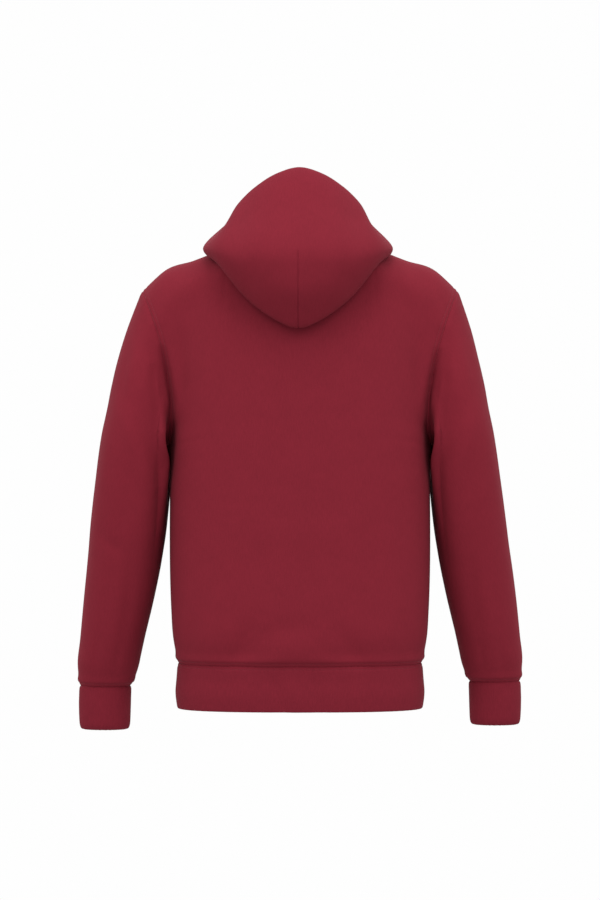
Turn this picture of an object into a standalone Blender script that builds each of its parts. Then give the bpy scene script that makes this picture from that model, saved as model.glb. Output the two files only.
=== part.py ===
"""A zip-up hoodie, filled out as worn, with its hood down on the back.

The front faces -Y, the wearer's left is +X and +Z is up. The origin is level with the high points of
the shoulders, in the middle of the neck. All the cut pieces lie on one smooth body form, a torso and
two arms blended together, and share their seam lines. Each piece is a wall with a small gap to the next.
"""

import math

import bpy
import numpy as np

MM = 0.001  # the tables and sizes below are in millimetres

WALL = 2.2  # thickness of the brushed fleece
RIB_WALL = 2.6  # thickness of the doubled rib knit
GAP = 0.66  # between two pieces at a seam
SEAM_REACH = 6.0  # over this far, a sharp fold's middle direction is found
OPPOSED = 0.5  # two unit normals whose sum is shorter than this are nearly opposed

HEM_SEAM = -632.0  # heights of the waistband's two edges
HEM_END = -699.0
CUFF_SEAM = -662.0  # heights of the right cuff's two edges
CUFF_END = -729.0
LEFT_ARM_LOWER = 7.0  # how much lower the left arm hangs
FRONT_EDGE = 6.0  # from the centre front to each front's edge, where the zip shows

SHOULDER_COLUMNS = 4
NECK_COLUMNS = 12  # across the back of the neck
FRONT_NECK_COLUMNS = 6  # from a shoulder seam to the centre front
LEVEL_ROWS = 6  # from the hem seam to the last level row of the panels
SIDE_ROWS = 3  # from there to the underarm
ARMHOLE_ROWS = 9  # from the underarm to the shoulder, front and back alike
SLEEVE_ROWS = 16
CUFF_PARTS = (0.0, 0.45, 0.91, 1.0)  # places of a cuff's rings, down from its seam
BAND_ROWS = 3
HOOD_ROWS = 20

# The torso as level sections: half width, depth to the front, depth to the back, and squareness.
TORSO_COLUMNS = ("height", "half_width", "front", "back", "squareness")
TORSO = (
    (-720.0, 181.0, 113.0, 107.0, 2.7),
    (-699.0, 181.5, 114.0, 108.0, 2.7),
    (-668.0, 184.5, 117.0, 111.0, 2.7),
    (-632.0, 180.5, 116.0, 110.0, 2.7),
    (-620.0, 184.5, 122.0, 116.0, 2.75),
    (-600.0, 187.0, 126.0, 119.0, 2.8),
    (-560.0, 190.0, 128.0, 121.0, 2.8),
    (-480.0, 192.5, 128.0, 121.0, 2.8),
    (-400.0, 192.5, 126.0, 121.0, 2.8),
    (-290.0, 192.0, 121.0, 119.0, 2.8),
    (-200.0, 194.0, 110.0, 114.0, 2.75),
    (-140.0, 200.0, 97.0, 107.0, 2.7),
    (-110.0, 207.0, 87.0, 101.0, 2.65),
    (-80.0, 214.0, 76.0, 93.0, 2.6),
    (-54.0, 199.0, 65.0, 84.0, 2.5),
    (-36.0, 160.0, 57.0, 76.0, 2.35),
    (-14.0, 108.0, 46.0, 65.0, 2.2),
    (0.0, 78.0, 36.0, 60.0, 2.1),
    (15.0, 66.0, 32.0, 57.0, 2.0),
    (60.0, 58.0, 28.0, 55.0, 2.0),
)

# The right arm as level sections: the middle's place, half width, half depth and squareness.
ARM_COLUMNS = ("height", "middle_x", "middle_y", "half_width", "half_depth", "squareness")
ARM = (
    (-729.0, 293.0, -40.0, 32.5, 25.0, 2.0),
    (-722.0, 293.0, -39.5, 36.8, 29.5, 2.0),
    (-694.0, 293.0, -38.0, 37.8, 31.5, 2.0),
    (-662.0, 292.0, -36.0, 37.5, 31.5, 2.0),
    (-651.0, 291.2, -35.0, 42.5, 37.0, 2.0),
    (-636.0, 288.5, -33.0, 44.5, 42.5, 2.05),
    (-600.0, 282.5, -28.0, 46.5, 50.0, 2.1),
    (-536.0, 271.5, -20.0, 51.0, 58.0, 2.2),
    (-465.0, 260.0, -13.0, 55.0, 66.0, 2.35),
    (-420.0, 252.5, -9.0, 58.5, 71.0, 2.45),
    (-358.0, 242.5, -5.0, 61.0, 77.0, 2.6),
    (-286.0, 228.0, -1.0, 65.0, 82.0, 2.6),
    (-250.0, 219.0, 0.0, 66.0, 81.0, 2.5),
    (-197.0, 208.0, 0.0, 66.5, 76.0, 2.3),
    (-143.0, 196.0, 0.0, 62.5, 66.0, 2.1),
    (-107.0, 190.0, 0.0, 57.0, 57.0, 2.0),
    (-89.0, 187.0, 0.0, 53.0, 49.0, 2.0),
    (-71.0, 185.0, 0.0, 43.0, 38.0, 2.0),
    (-58.0, 184.0, 0.0, 32.0, 27.0, 2.0),
    (-50.0, 184.0, 0.0, 19.0, 16.0, 2.0),
    (-46.0, 184.0, 0.0, 4.0, 3.0, 2.0),
)

# How much closer in the right sleeve's outer side hangs than the left one's.
CLOSER_COLUMNS = ("height", "closer")
CLOSER = ((-570.0, 0.0), (-500.0, 1.5), (-430.0, 5.0), (-358.0, 6.5), (-286.0, 7.0), (-230.0, 6.0),
          (-150.0, 4.0), (-110.0, 0.0))

UNDERARM = -308.0  # height of the armhole's lowest point
ARMHOLE_FOOT = 194.5  # half width there, midway between the torso's side and the sleeve
ARMHOLE_MIDDLE = -190.0
ARMHOLE_SCOOP = 9.0  # how far the seam curves in towards the back and the chest
LEVEL_TOP = -400.0  # height of the last level row of the panels
CHEST_AXIS = -130.0  # above this height, the chest and the back are seen as round a level axis
CHEST_HALF = 150.0  # half length of that axis
SHOULDER_AXIS = -130.0  # above this height, the sleeve is seen as round one point of the arm
PATCH_ROUNDS = 10  # how often a panel's grid is evened out
SLEEVE_ROUNDS = 10

# Where torso and sleeve meet: how far the sleeve keeps off the torso (it runs into it where this is
# under 0), and how far they round into each other. Towards the back and the chest they meet higher.
MEETING_COLUMNS = ("height", "clear", "reach")
MEETING = ((-440.0, 7.0, 16.0), (-352.0, 8.0, 18.0), (-326.0, 14.0, 20.0), (-308.0, 11.0, 20.0),
           (-290.0, -8.0, 14.0), (-240.0, -33.0, 14.0), (-120.0, -33.0, 34.0), (-90.0, -33.0, 28.0),
           (-50.0, -33.0, 9.0))
MEETING_RISE = 30.0  # how much higher they meet at MEETING_SIDE from the middle
MEETING_SIDE = 60.0

# The neck seam's height by its bearing: 0 degrees is the centre front, 90 a shoulder and 180 the back.
NECK_COLUMNS_BY_BEARING = ("bearing", "height")
NECK = ((0.0, -78.0), (25.0, -60.0), (50.0, -27.0), (75.0, -3.0), (90.0, 0.0), (115.0, -3.0),
        (145.0, -10.0), (180.0, -14.0))

# The hood's sections. Each starts at the neck seam at its bearing, and runs over these points (x, y, z):
# up the neck, back and down inside, round the lowest fold, out over the belly and up to the face edge.
HOOD_LEAN = (0.0, 0.8, 2.5, 3.0, 2.2, 0.8, 0.5)  # how far the back of the hood lies over to the left
HOOD_COLUMNS = ("bearing", "rise", "inner", "low", "belly", "upper", "crest", "edge")
HOOD = (
    (0.0, (6.6, -84, -70), (7, -89, -62), (7.6, -92, -56), (8, -92, -51), (8.4, -94, -46),
     (8.8, -95, -41), (9, -95, -37)),
    (38.0, (51, -71, -24), (65, -80, -22), (78, -86, -20), (80, -85, -6), (74, -79, 8),
     (66, -70, 15), (59, -64, 10)),
    (75.0, (80, -23, 12), (98, -26, 12), (114, -26, -3), (116, -25, 7), (105, -18, 23),
     (92, -10, 36), (81, -8, 29)),
    (101.0, (79, 15, 16), (103, 28, 12), (135, 46, -26), (139, 52, -20), (107, 45, 13),
     (90, 36, 42), (78, 32, 36)),
    (118.0, (72, 38, 17), (94, 65, -5), (116, 94, -44), (124, 107, -26), (104, 92, 16),
     (81, 64, 52), (69, 52, 46)),
    (140.0, (55, 66, 12), (68, 94, -26), (76, 109, -93), (88, 147, -38), (80, 118, 20),
     (62, 78, 70), (52, 62, 62)),
    (161.0, (28, 78, 5), (32, 104, -46), (34, 121, -125), (45, 166, -40), (43, 133, 33),
     (33, 87, 88), (27, 67, 78)),
    (180.0, (0, 80, 4), (0, 108, -50), (0, 125, -138), (0, 172, -42), (0, 138, 38),
     (0, 90, 97), (0, 68, 85)),
)

TAPE_WALL = 0.9
TAPE_WIDTH = 16.0
TAPE_FROM_CENTRE = 0.9
TAPE_BEHIND = 0.6  # clear of the inside of the fronts
TAPE_SHORT = 1.6  # from the neck seam and the band's lower edge to the tape's ends

# The zip's hard pieces are in blocks: across, along the zip and out of it, from the tape's outer face.
ZIP_GAP = 0.4  # between the tape and the pieces on it
BOX_WIDTH = 9.0
BOX_LENGTH = 11.0
BOX_DEPTH = 3.0
SLIDER_WIDTH = 8.6
SLIDER_LENGTH = 12.0
SLIDER_PLATE = 1.3
POST_WIDTH = 1.0  # the post between the slider's two plates
POST_LENGTH = 8.0
BRIDGE_WIDTH = 2.4
BRIDGE_WALL = 1.0
BRIDGE_CLEAR = 1.3  # from the hinge line to the slider, all round
TAB_WIDTH = 6.4
TAB_LENGTH = 24.0  # below the hinge line
TAB_WALL = 1.3
TAB_END = 0.7  # from the hinge line to the tab's end above it, and to its eye below
EYE_WIDTH = 3.2
EYE_LENGTH = 3.0

FLEECE = (0.255, 0.026, 0.045, 1.0)
RIB = (0.22, 0.022, 0.038, 1.0)
TAPE = (0.17, 0.017, 0.03, 1.0)
METAL = (0.5, 0.5, 0.52, 1.0)


def clear_scene():
    for obj in list(bpy.data.objects):
        bpy.data.objects.remove(obj)


def material(name, colour, roughness, metallic=0.0):
    made = bpy.data.materials.new(name)
    made.use_nodes = True
    shader = made.node_tree.nodes["Principled BSDF"]
    shader.inputs["Base Color"].default_value = colour
    shader.inputs["Roughness"].default_value = roughness
    shader.inputs["Metallic"].default_value = metallic
    return made


def through(stations, values, at):
    """A smooth curve through the values at the rising stations, held level past both ends."""
    stations = np.asarray(stations, float)
    values = np.asarray(values, float)
    step = np.diff(stations)
    step_of = step.reshape((-1,) + (1,) * (values.ndim - 1))
    rise = np.diff(values, axis=0) / step_of
    slope = np.empty_like(values)
    slope[0], slope[-1] = rise[0], rise[-1]
    slope[1:-1] = (rise[:-1] * step_of[1:] + rise[1:] * step_of[:-1]) / (step_of[1:] + step_of[:-1])
    at = np.clip(np.asarray(at, float), stations[0], stations[-1])
    piece = np.clip(np.searchsorted(stations, at, side="right") - 1, 0, len(step) - 1)
    wide = at.shape + (1,) * (values.ndim - 1)
    part = ((at - stations[piece]) / step[piece]).reshape(wide)
    span = step[piece].reshape(wide)
    return (
        values[piece] * (1 + 2 * part) * (1 - part) ** 2
        + values[piece + 1] * part**2 * (3 - 2 * part)
        + slope[piece] * span * part * (1 - part) ** 2
        + slope[piece + 1] * span * part**2 * (part - 1)
    )


TORSO_ROWS = np.array(TORSO)
ARM_ROWS = np.array(ARM)
CLOSER_ROWS = np.array(CLOSER)
MEETING_ROWS = np.array(MEETING)


def ramp(value, start, end):
    part = np.clip((value - start) / (end - start), 0.0, 1.0)
    return part * part * (3 - 2 * part)


def torso_ratio(points):
    """Under 1 inside the torso and over 1 outside it."""
    x, y, z = np.moveaxis(points, -1, 0)
    half_width, front, back, square = np.moveaxis(through(TORSO_ROWS[:, 0], TORSO_ROWS[:, 1:], z), -1, 0)
    depth = np.where(y < 0, front, back)
    return (np.abs(x / half_width) ** square + np.abs(y / depth) ** square + 1e-9) ** (1 / square)


def arm_height(x, z):
    """The height on the right arm's table that matches z, because the left arm hangs lower."""
    return z + LEFT_ARM_LOWER * ramp(-z, 120.0, 480.0) * (x > 0)


def arm_ratio(points):
    """Under 1 inside either arm and over 1 outside it."""
    x, y, z = np.moveaxis(points, -1, 0)
    row = through(ARM_ROWS[:, 0], ARM_ROWS[:, 1:], arm_height(x, z))
    middle_x, middle_y, half_width, half_depth, square = np.moveaxis(row, -1, 0)
    out = np.abs(x) - middle_x
    closer = through(CLOSER_ROWS[:, 0], CLOSER_ROWS[:, 1], z) * (x < 0) * (out > 0)
    across = np.abs(out / (half_width - closer))
    along = np.abs((y - middle_y) / half_depth)
    above = np.maximum(z - ARM_ROWS[-1, 0], 0) / ARM_ROWS[-1, 3]
    return (across**square + along**square + 1e-9) ** (1 / square) + above


def slope_of(field, points, reach=0.5):
    """The field's gradient."""
    steps = reach * np.eye(3)
    return np.stack([(field(points + s) - field(points - s)) / (2 * reach) for s in steps], axis=-1)


def distance(ratio, points):
    steepness = np.linalg.norm(slope_of(ratio, points), axis=-1)
    return (ratio(points) - 1) / np.maximum(steepness, 1e-3)


def blended(first, second, reach):
    """The lower of two distances, rounded where they are within reach of each other."""
    near = np.maximum(reach - np.abs(first - second), 0) / reach
    return np.minimum(first, second) - near * near * reach / 4


def meeting_height(points):
    return points[..., 2] - MEETING_RISE * (np.minimum(np.abs(points[..., 1]), 90.0) / MEETING_SIDE) ** 2


def parts_of(points):
    """Distances from the torso and from the arms, and how far they round into each other."""
    torso = distance(torso_ratio, points)
    meeting = through(MEETING_ROWS[:, 0], MEETING_ROWS[:, 1:], meeting_height(points))
    clear, reach = np.moveaxis(meeting, -1, 0)
    arm = -blended(-distance(arm_ratio, points), torso - clear, 14.0)
    return torso, arm, reach


def apart(points, height):
    """Added to the other part's distance, so that torso and sleeve part below this height."""
    return 8.0 * np.maximum(height - meeting_height(points), 0)


def form(points):
    """The whole body form: torso and arms together."""
    return blended(*parts_of(points))


def torso_form(points):
    """The torso alone below the underarm, and the whole form above it."""
    torso, arm, reach = parts_of(points)
    return blended(torso, arm + apart(points, UNDERARM + 4.0), reach)


def sleeve_form(points):
    """The arms alone below the underarm, and the whole form above it."""
    torso, arm, reach = parts_of(points)
    return blended(arm, torso + apart(points, UNDERARM + 9.0), reach)


def cast(field, place, reach, nearest=2.0):
    """The first place on each path, given by place(r), at which it leaves the field."""
    step = (reach - nearest) / 48
    low = np.full(reach.shape, nearest)
    going = np.ones(reach.shape, bool)
    for _ in range(48):
        going &= field(place(low + step)) < 0
        low = low + step * going
    high = low + step
    for _ in range(16):
        middle = (low + high) / 2
        inside = field(place(middle)) < 0
        low = np.where(inside, middle, low)
        high = np.where(inside, high, middle)
    return place((low + high) / 2)


def lifted(points):
    """Moves points out to the form, each straight away from the middle of the torso."""
    x, y, z = np.moveaxis(points, -1, 0)
    root = np.stack([np.clip(x, -CHEST_HALF, CHEST_HALF), 0 * y, np.minimum(z, CHEST_AXIS)], axis=-1)
    ways = points - root
    ways /= np.linalg.norm(ways, axis=-1, keepdims=True)

    def place(r):
        return root + r[..., None] * ways

    return cast(torso_form, place, np.full(x.shape, 200.0))


def torso_ring(bearings, height):
    """Points round the torso at one height. Bearing 0 is the left side seam and 90 the centre back."""
    turn = np.radians(bearings)
    width, front, back, _ = through(TORSO_ROWS[:, 0], TORSO_ROWS[:, 1:], height)
    across = np.stack([width * np.cos(turn), np.where(turn < 0, front, back) * np.sin(turn)], axis=-1)

    def place(r):
        level = np.full(turn.shape, float(height))
        return np.column_stack([r[:, None] * across, level])

    return cast(torso_form, place, np.full(turn.shape, 1.6), nearest=0.1)


def front_edge(heights):
    """Points on the left front's edge, beside the centre front."""
    heights = np.asarray(heights, float)

    def place(r):
        return np.column_stack([np.full(r.shape, FRONT_EDGE), -r, heights])

    return cast(torso_form, place, np.full(heights.shape, 160.0))


def neck_seam(bearings):
    """Points on the neck seam, from the left front (0) round the left shoulder to the back (180)."""
    turn = np.radians(bearings)
    table = np.array(NECK)
    heights = through(table[:, 0], table[:, 1], bearings)

    def place(r):
        return np.column_stack([r * np.sin(turn), -r * np.cos(turn), heights])

    points = cast(torso_form, place, np.full(turn.shape, 140.0))
    if bearings[0] == 0:
        points[0] = front_edge(heights[:1])[0]
    return points


def armhole(steps, side):
    """The left armhole seam from the shoulder point down to the underarm, by the back or by the front."""
    turn = np.linspace(0, math.pi, steps + 1)

    def place(r):
        y = side * r * np.sin(turn)
        z = ARMHOLE_MIDDLE + r * np.cos(turn)
        part = np.clip((z - UNDERARM) / 226.0, 0, 1.2)
        x = ARMHOLE_FOOT + 40.0 * part**1.8 - ARMHOLE_SCOOP * (y / 80.0) ** 2
        return np.column_stack([x, y, z])

    points = cast(form, place, np.full(turn.shape, 150.0), nearest=20.0)
    points[[0, -1], 1] = 0.0
    return points


def side_seam(steps, foot):
    """Points up the left side, from the last level row to the underarm."""
    heights = np.linspace(LEVEL_TOP, foot[2], steps + 1)

    def place(r):
        return np.column_stack([r, 0 * r, heights])

    points = cast(torso_form, place, np.full(heights.shape, 260.0), nearest=100.0)
    points[-1] = foot
    return points


def shoulder_seam(neck_point, shoulder_point, columns):
    """The left shoulder seam, along the top of the shoulder."""
    x = np.linspace(neck_point[0], shoulder_point[0], columns + 1)
    y = np.linspace(neck_point[1], shoulder_point[1], columns + 1)

    def place(r):
        return np.column_stack([x, y, r - 150.0])

    points = cast(form, place, np.full(x.shape, 170.0))
    points[0], points[-1] = neck_point, shoulder_point
    return points


def patch(bottom, top, left, right):
    """A grid whose four edges are the given lines, filled in evenly between them."""
    u = np.linspace(0, 1, len(bottom))[None, :, None]
    v = np.linspace(0, 1, len(left))[:, None, None]
    across = (1 - u) * left[:, None] + u * right[:, None]
    along = (1 - v) * bottom[None] + v * top[None]
    corners = (1 - v) * ((1 - u) * bottom[0] + u * bottom[-1]) + v * ((1 - u) * top[0] + u * top[-1])
    return across + along - corners


def lifted_patch(bottom, top, left, right):
    grid = patch(bottom, top, left, right)
    grid[1:-1, 1:-1] = lifted(grid[1:-1, 1:-1])
    for _ in range(PATCH_ROUNDS):
        evened = (grid[2:, 1:-1] + grid[:-2, 1:-1] + grid[1:-1, 2:] + grid[1:-1, :-2]) / 4
        grid[1:-1, 1:-1] = lifted(evened)
    return grid


def mirrored(points):
    return points * (-1, 1, 1)


def back_grid():
    """The back's middle surface, from the hem seam up and from the left side to the right."""
    columns = 2 * SHOULDER_COLUMNS + NECK_COLUMNS
    bearings = np.linspace(0, 180, columns + 1)
    heights = np.linspace(HEM_SEAM, LEVEL_TOP, LEVEL_ROWS + 1)
    lower = np.array([torso_ring(bearings, z) for z in heights])
    seam = armhole(ARMHOLE_ROWS, 1)[::-1]
    side = np.vstack([side_seam(SIDE_ROWS, seam[0]), seam[1:]])
    neck = neck_seam(np.linspace(90, 270, NECK_COLUMNS + 1))
    neck = np.vstack([neck[: NECK_COLUMNS // 2 + 1], mirrored(neck[: NECK_COLUMNS // 2])[::-1]])
    shoulder = shoulder_seam(neck[0], seam[-1], SHOULDER_COLUMNS)[::-1]
    top = np.vstack([shoulder, neck[1:-1], mirrored(shoulder)[::-1]])
    upper = lifted_patch(lower[-1], top, side, mirrored(side))
    return np.vstack([lower, upper[1:]])


def front_grid():
    """The left front's middle surface, from the hem seam up and from the zip to the side."""
    columns = FRONT_NECK_COLUMNS + SHOULDER_COLUMNS
    heights = np.linspace(HEM_SEAM, LEVEL_TOP, LEVEL_ROWS + 1)
    bearings = np.linspace(-90, 0, columns + 1)
    lower = np.array([torso_ring(bearings, z) for z in heights])
    lower[:, 0] = front_edge(heights)
    seam = armhole(ARMHOLE_ROWS, -1)[::-1]
    side = np.vstack([side_seam(SIDE_ROWS, seam[0]), seam[1:]])
    neck = neck_seam(np.linspace(0, 90, FRONT_NECK_COLUMNS + 1))
    shoulder = shoulder_seam(neck[-1], seam[-1], SHOULDER_COLUMNS)
    top = np.vstack([neck, shoulder[1:]])
    edge = front_edge(np.linspace(LEVEL_TOP, neck[0][2], SIDE_ROWS + ARMHOLE_ROWS + 1))
    upper = lifted_patch(lower[-1], top, edge, side)
    return np.vstack([lower, upper[1:]])


def arm_row(height, side):
    """The arm's middle (x, y), half width and half depth at this height."""
    return through(ARM_ROWS[:, 0], ARM_ROWS[:, 1:5], arm_height(side, height))


def lifted_sleeve(points, side):
    """Moves points out to the sleeve, each straight away from the middle of the arm."""
    height = np.minimum(points[..., 2], SHOULDER_AXIS)
    row = arm_row(height, side)
    root = np.stack([side * row[..., 0], row[..., 1], height], axis=-1)
    ways = points - root
    ways /= np.linalg.norm(ways, axis=-1, keepdims=True)

    def place(r):
        return root + r[..., None] * ways

    return cast(sleeve_form, place, np.full(height.shape, 150.0))


def sleeve_grid(side):
    """A sleeve's middle surface: rings from the armhole to the cuff seam. Side is 1 on the left."""
    seam = np.vstack([armhole(ARMHOLE_ROWS, 1), armhole(ARMHOLE_ROWS, -1)[-2:0:-1]]) * (side, 1, 1)
    end = cuff_ring(CUFF_SEAM - LEFT_ARM_LOWER * (side > 0), side)
    part = np.linspace(0, 1, SLEEVE_ROWS + 1)[:, None, None]
    grid = seam * (1 - part) + end * part
    grid[1:-1] = lifted_sleeve(grid[1:-1], side)
    for _ in range(SLEEVE_ROUNDS):
        around = np.roll(grid, 1, axis=1) + np.roll(grid, -1, axis=1)
        grid[1:-1] = lifted_sleeve((grid[2:] + grid[:-2] + around[1:-1]) / 4, side)
    return grid


def cuff_ring(height, side):
    """A level ring round the wrist, from the outside of the arm round by the back."""
    middle_x, middle_y, half_width, half_depth = arm_row(height, side)
    turn = np.linspace(0, 2 * math.pi, 2 * ARMHOLE_ROWS + 1)[:-1]
    x = side * (middle_x + half_width * np.cos(turn))
    y = middle_y + half_depth * np.sin(turn)
    return np.column_stack([x, y, np.full(turn.shape, height)])


def cuff_grid(side):
    """A cuff's middle surface, down from the sleeve's last ring."""
    heights = CUFF_SEAM + (CUFF_END - CUFF_SEAM) * np.array(CUFF_PARTS) - LEFT_ARM_LOWER * (side > 0)
    return np.array([cuff_ring(height, side) for height in heights])


def band_grid(seam):
    """The waistband's middle surface, up from its lower edge to the body's hem seam."""
    rows = []
    across = seam[:, :2]
    top_width, top_front, top_back, _ = through(TORSO_ROWS[:, 0], TORSO_ROWS[:, 1:], HEM_SEAM)
    for part in np.linspace(0, 1, BAND_ROWS + 1)[:-1]:
        height = HEM_END + (HEM_SEAM - HEM_END) * part
        width, front, back, _ = through(TORSO_ROWS[:, 0], TORSO_ROWS[:, 1:], height)
        x = across[:, 0] * width / top_width
        x[0], x[-1] = FRONT_EDGE, -FRONT_EDGE
        y = across[:, 1] * np.where(across[:, 1] < 0, front / top_front, back / top_back)
        rows.append(np.column_stack([x, y, np.full(len(x), height)]))
    return np.array(rows + [seam])


def hood_grid(neck):
    """The hood's middle surface, from the neck seam to the face edge, left front round to right front."""
    half = [(bearing, np.array(points, float)) for bearing, *points in HOOD]
    stations = [bearing for bearing, _ in half] + [360 - bearing for bearing, _ in half[-2::-1]]
    rails = [points for _, points in half] + [mirrored(points) for _, points in half[-2::-1]]
    bearings = hood_bearings()
    placed = through(stations, np.array(rails), bearings)
    behind = 1 - np.maximum(np.cos(np.radians(bearings)), 0)
    placed[..., 0] += behind[:, None] * np.array(HOOD_LEAN)
    columns = []
    for start, rail in zip(neck, placed):
        line = np.vstack([start, rail])
        run = np.concatenate([[0], np.cumsum(np.linalg.norm(np.diff(line, axis=0), axis=1) ** 0.7)])
        columns.append(through(run, line, np.linspace(0, run[-1], HOOD_ROWS + 1)))
    return np.array(columns).swapaxes(0, 1)


def hood_bearings():
    front = np.linspace(0, 90, FRONT_NECK_COLUMNS + 1)
    back = np.linspace(90, 270, NECK_COLUMNS + 1)
    return np.concatenate([front, back[1:-1], 360 - front[::-1]])


def grid_normals(grid, looped):
    """Unit normals on a grid: rows cross columns."""
    if looped:
        along = np.roll(grid, -1, axis=1) - np.roll(grid, 1, axis=1)
    else:
        along = np.gradient(grid, axis=1)
    normals = np.cross(along, np.gradient(grid, axis=0))
    return normals / np.linalg.norm(normals, axis=-1, keepdims=True)


def key(point):
    return tuple(np.round(point, 2))


def edges_of(grid, looped):
    """Row and column of each point on the grid's edge, with the way inwards."""
    rows, columns = grid.shape[:2]
    found = {}
    for j in range(columns):
        found.setdefault((0, j), []).append((1, 0))
        found.setdefault((rows - 1, j), []).append((-1, 0))
    if not looped:
        for i in range(rows):
            found.setdefault((i, 0), []).append((0, 1))
            found.setdefault((i, columns - 1), []).append((0, -1))
    return found


def seam_directions(pieces):
    """The direction across the wall at each seam point, shared by all the pieces that meet there."""
    meeting = {}
    for grid, looped, outward, _ in pieces.values():
        normals = grid_normals(grid, looped) * outward
        for i, j in edges_of(grid, looped):
            meeting.setdefault(key(grid[i, j]), []).append((looped, normals[i, j]))
    shared = {}
    for place, found in meeting.items():
        if len(found) == 1:
            continue
        across = np.zeros(3)
        for kind in (True, False):
            total = np.sum([normal for looped, normal in found if looped == kind], axis=0)
            if np.any(total):
                across += total / np.linalg.norm(total)
        if np.linalg.norm(across) < OPPOSED:
            across = slope_of(form, np.array(place), SEAM_REACH)
        shared[place] = across / np.linalg.norm(across)
    return shared


def wall_mesh(name, grid, looped, outward, thickness, shared):
    """Closes one piece: its middle surface moved out and in by half its thickness, and joined round."""
    rows, columns = grid.shape[:2]
    normals = grid_normals(grid, looped) * outward
    offset = normals * thickness / 2
    middle = grid.copy()
    for (i, j), ways in edges_of(grid, looped).items():
        across = shared.get(key(grid[i, j]))
        if across is None:
            continue
        offset[i, j] = across * thickness / 2 / max(across @ normals[i, j], 0.6)
        for down, right in ways:
            inward = grid[i + down, (j + right) % columns] - grid[i, j]
            inward -= (inward @ across) * across
            if len(ways) == 1:
                before = grid[i, (j - 1) % columns] if down else grid[i - 1, j]
                after = grid[i, (j + 1) % columns] if down else grid[i + 1, j]
                along = (after - before) / np.linalg.norm(after - before)
                inward -= (inward @ along) * along
            middle[i, j] += inward / np.linalg.norm(inward) * GAP / 2
    outer = (middle + offset).reshape(-1, 3)
    inner = (middle - offset).reshape(-1, 3)
    flat = grid.reshape(-1, 3)
    count = rows * columns
    faces = []

    def at(i, j):
        return i * columns + j % columns

    last = columns if looped else columns - 1
    for i in range(rows - 1):
        for j in range(last):
            a, b, c, d = at(i, j), at(i, j + 1), at(i + 1, j + 1), at(i + 1, j)
            if np.linalg.norm(flat[a] - flat[c]) < np.linalg.norm(flat[b] - flat[d]):
                halves = (a, b, c), (a, c, d)
            else:
                halves = (a, b, d), (b, c, d)
            for half in halves:
                faces.append(half)
                faces.append(tuple(count + k for k in half[::-1]))
    borders = [[at(0, j) for j in range(last + 1)], [at(rows - 1, j) for j in range(last, -1, -1)]]
    if not looped:
        borders += [[at(i, columns - 1) for i in range(rows)], [at(i, 0) for i in range(rows - 1, -1, -1)]]
    for border in borders:
        for a, b in zip(border[:-1], border[1:]):
            # Two pieces at one seam split their facing edges the same way.
            if key(flat[a]) > key(flat[b]):
                faces += [(b, a, count + b), (a, count + a, count + b)]
            else:
                faces += [(b, a, count + a), (b, count + a, count + b)]
    if outward < 0:
        faces = [face[::-1] for face in faces]
    return new_object(name, np.vstack([outer, inner]), faces)


def new_object(name, points, faces):
    mesh = bpy.data.meshes.new(name)
    mesh.from_pydata((np.asarray(points) * MM).tolist(), [], faces)
    mesh.shade_smooth()
    mesh.set_sharp_from_angle(angle=math.radians(40))
    made = bpy.data.objects.new(name, mesh)
    bpy.context.collection.objects.link(made)
    return made


def block_object(name, filled, hollow, frame, origin):
    """Joins level blocks, each a (low, high) pair, cuts the hollow ones out, and sets them in the frame."""
    corners = np.array(filled + hollow)
    lines = [np.unique(np.round(corners[:, :, axis], 4)) for axis in range(3)]
    centres = np.stack(np.meshgrid(*[(line[1:] + line[:-1]) / 2 for line in lines], indexing="ij"), -1)
    solid = np.zeros(centres.shape[:3], bool)
    for blocks, value in ((filled, True), (hollow, False)):
        for low, high in blocks:
            solid[np.all((centres > low) & (centres < high), axis=-1)] = value
    padded = np.pad(solid, 1)
    numbers = {}
    faces = []

    def number(corner):
        return numbers.setdefault(corner, len(numbers))

    for cell in np.argwhere(solid):
        for axis in range(3):
            for way in (0, 1):
                beside = cell + 1
                beside[axis] += 2 * way - 1
                if padded[tuple(beside)]:
                    continue
                face = []
                for up, right in ((0, 0), (0, 1), (1, 1), (1, 0)):
                    corner = cell.copy()
                    corner[axis] += way
                    corner[(axis + 1) % 3] += right
                    corner[(axis + 2) % 3] += up
                    face.append(number(tuple(int(c) for c in corner)))
                faces.append(face if way else face[::-1])
    points = np.array([[lines[axis][corner[axis]] for axis in range(3)] for corner in numbers])
    made = new_object(name, points @ frame, faces)
    made.location = np.asarray(origin) * MM
    return made


def block(width, along, out):
    """A block in the middle of the zip, from its width and its two ends along and out of the zip."""
    return (-width / 2, along[0], out[0]), (width / 2, along[1], out[1])


def zip_lines(front, band):
    """The left tape's middle surface, from the band's lower edge up to the neck, behind the fronts."""
    edge = np.vstack([band[:, 0], front[1:, 0]])
    nearby = np.vstack([band[:, 1], front[1:, 1]])
    across = (nearby - edge) / (nearby - edge)[:, :1]
    edge[0, 2] += TAPE_SHORT
    edge[-1] -= (edge[-1] - edge[-2]) * TAPE_SHORT / np.linalg.norm(edge[-1] - edge[-2])
    steps = TAPE_FROM_CENTRE + TAPE_WIDTH * np.array((0.0, 0.5, 1.0))
    grid = np.stack([edge + across * (step - FRONT_EDGE) for step in steps], axis=1)
    return grid - grid_normals(grid, False) * (RIB_WALL / 2 + TAPE_BEHIND + TAPE_WALL / 2)


def zip_frame(tape, row):
    """The zip's place halfway up this row of the tape, and its three directions."""
    low, high = tape[row, 0], tape[row + 1, 0]
    along = (high - low) * (0, 1, 1)
    along /= np.linalg.norm(along)
    out = np.cross((1.0, 0.0, 0.0), along)
    place = (low + high) / 2 * (0, 1, 1) + out * TAPE_WALL / 2
    return place, np.array(((1.0, 0.0, 0.0), along, out))


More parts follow.
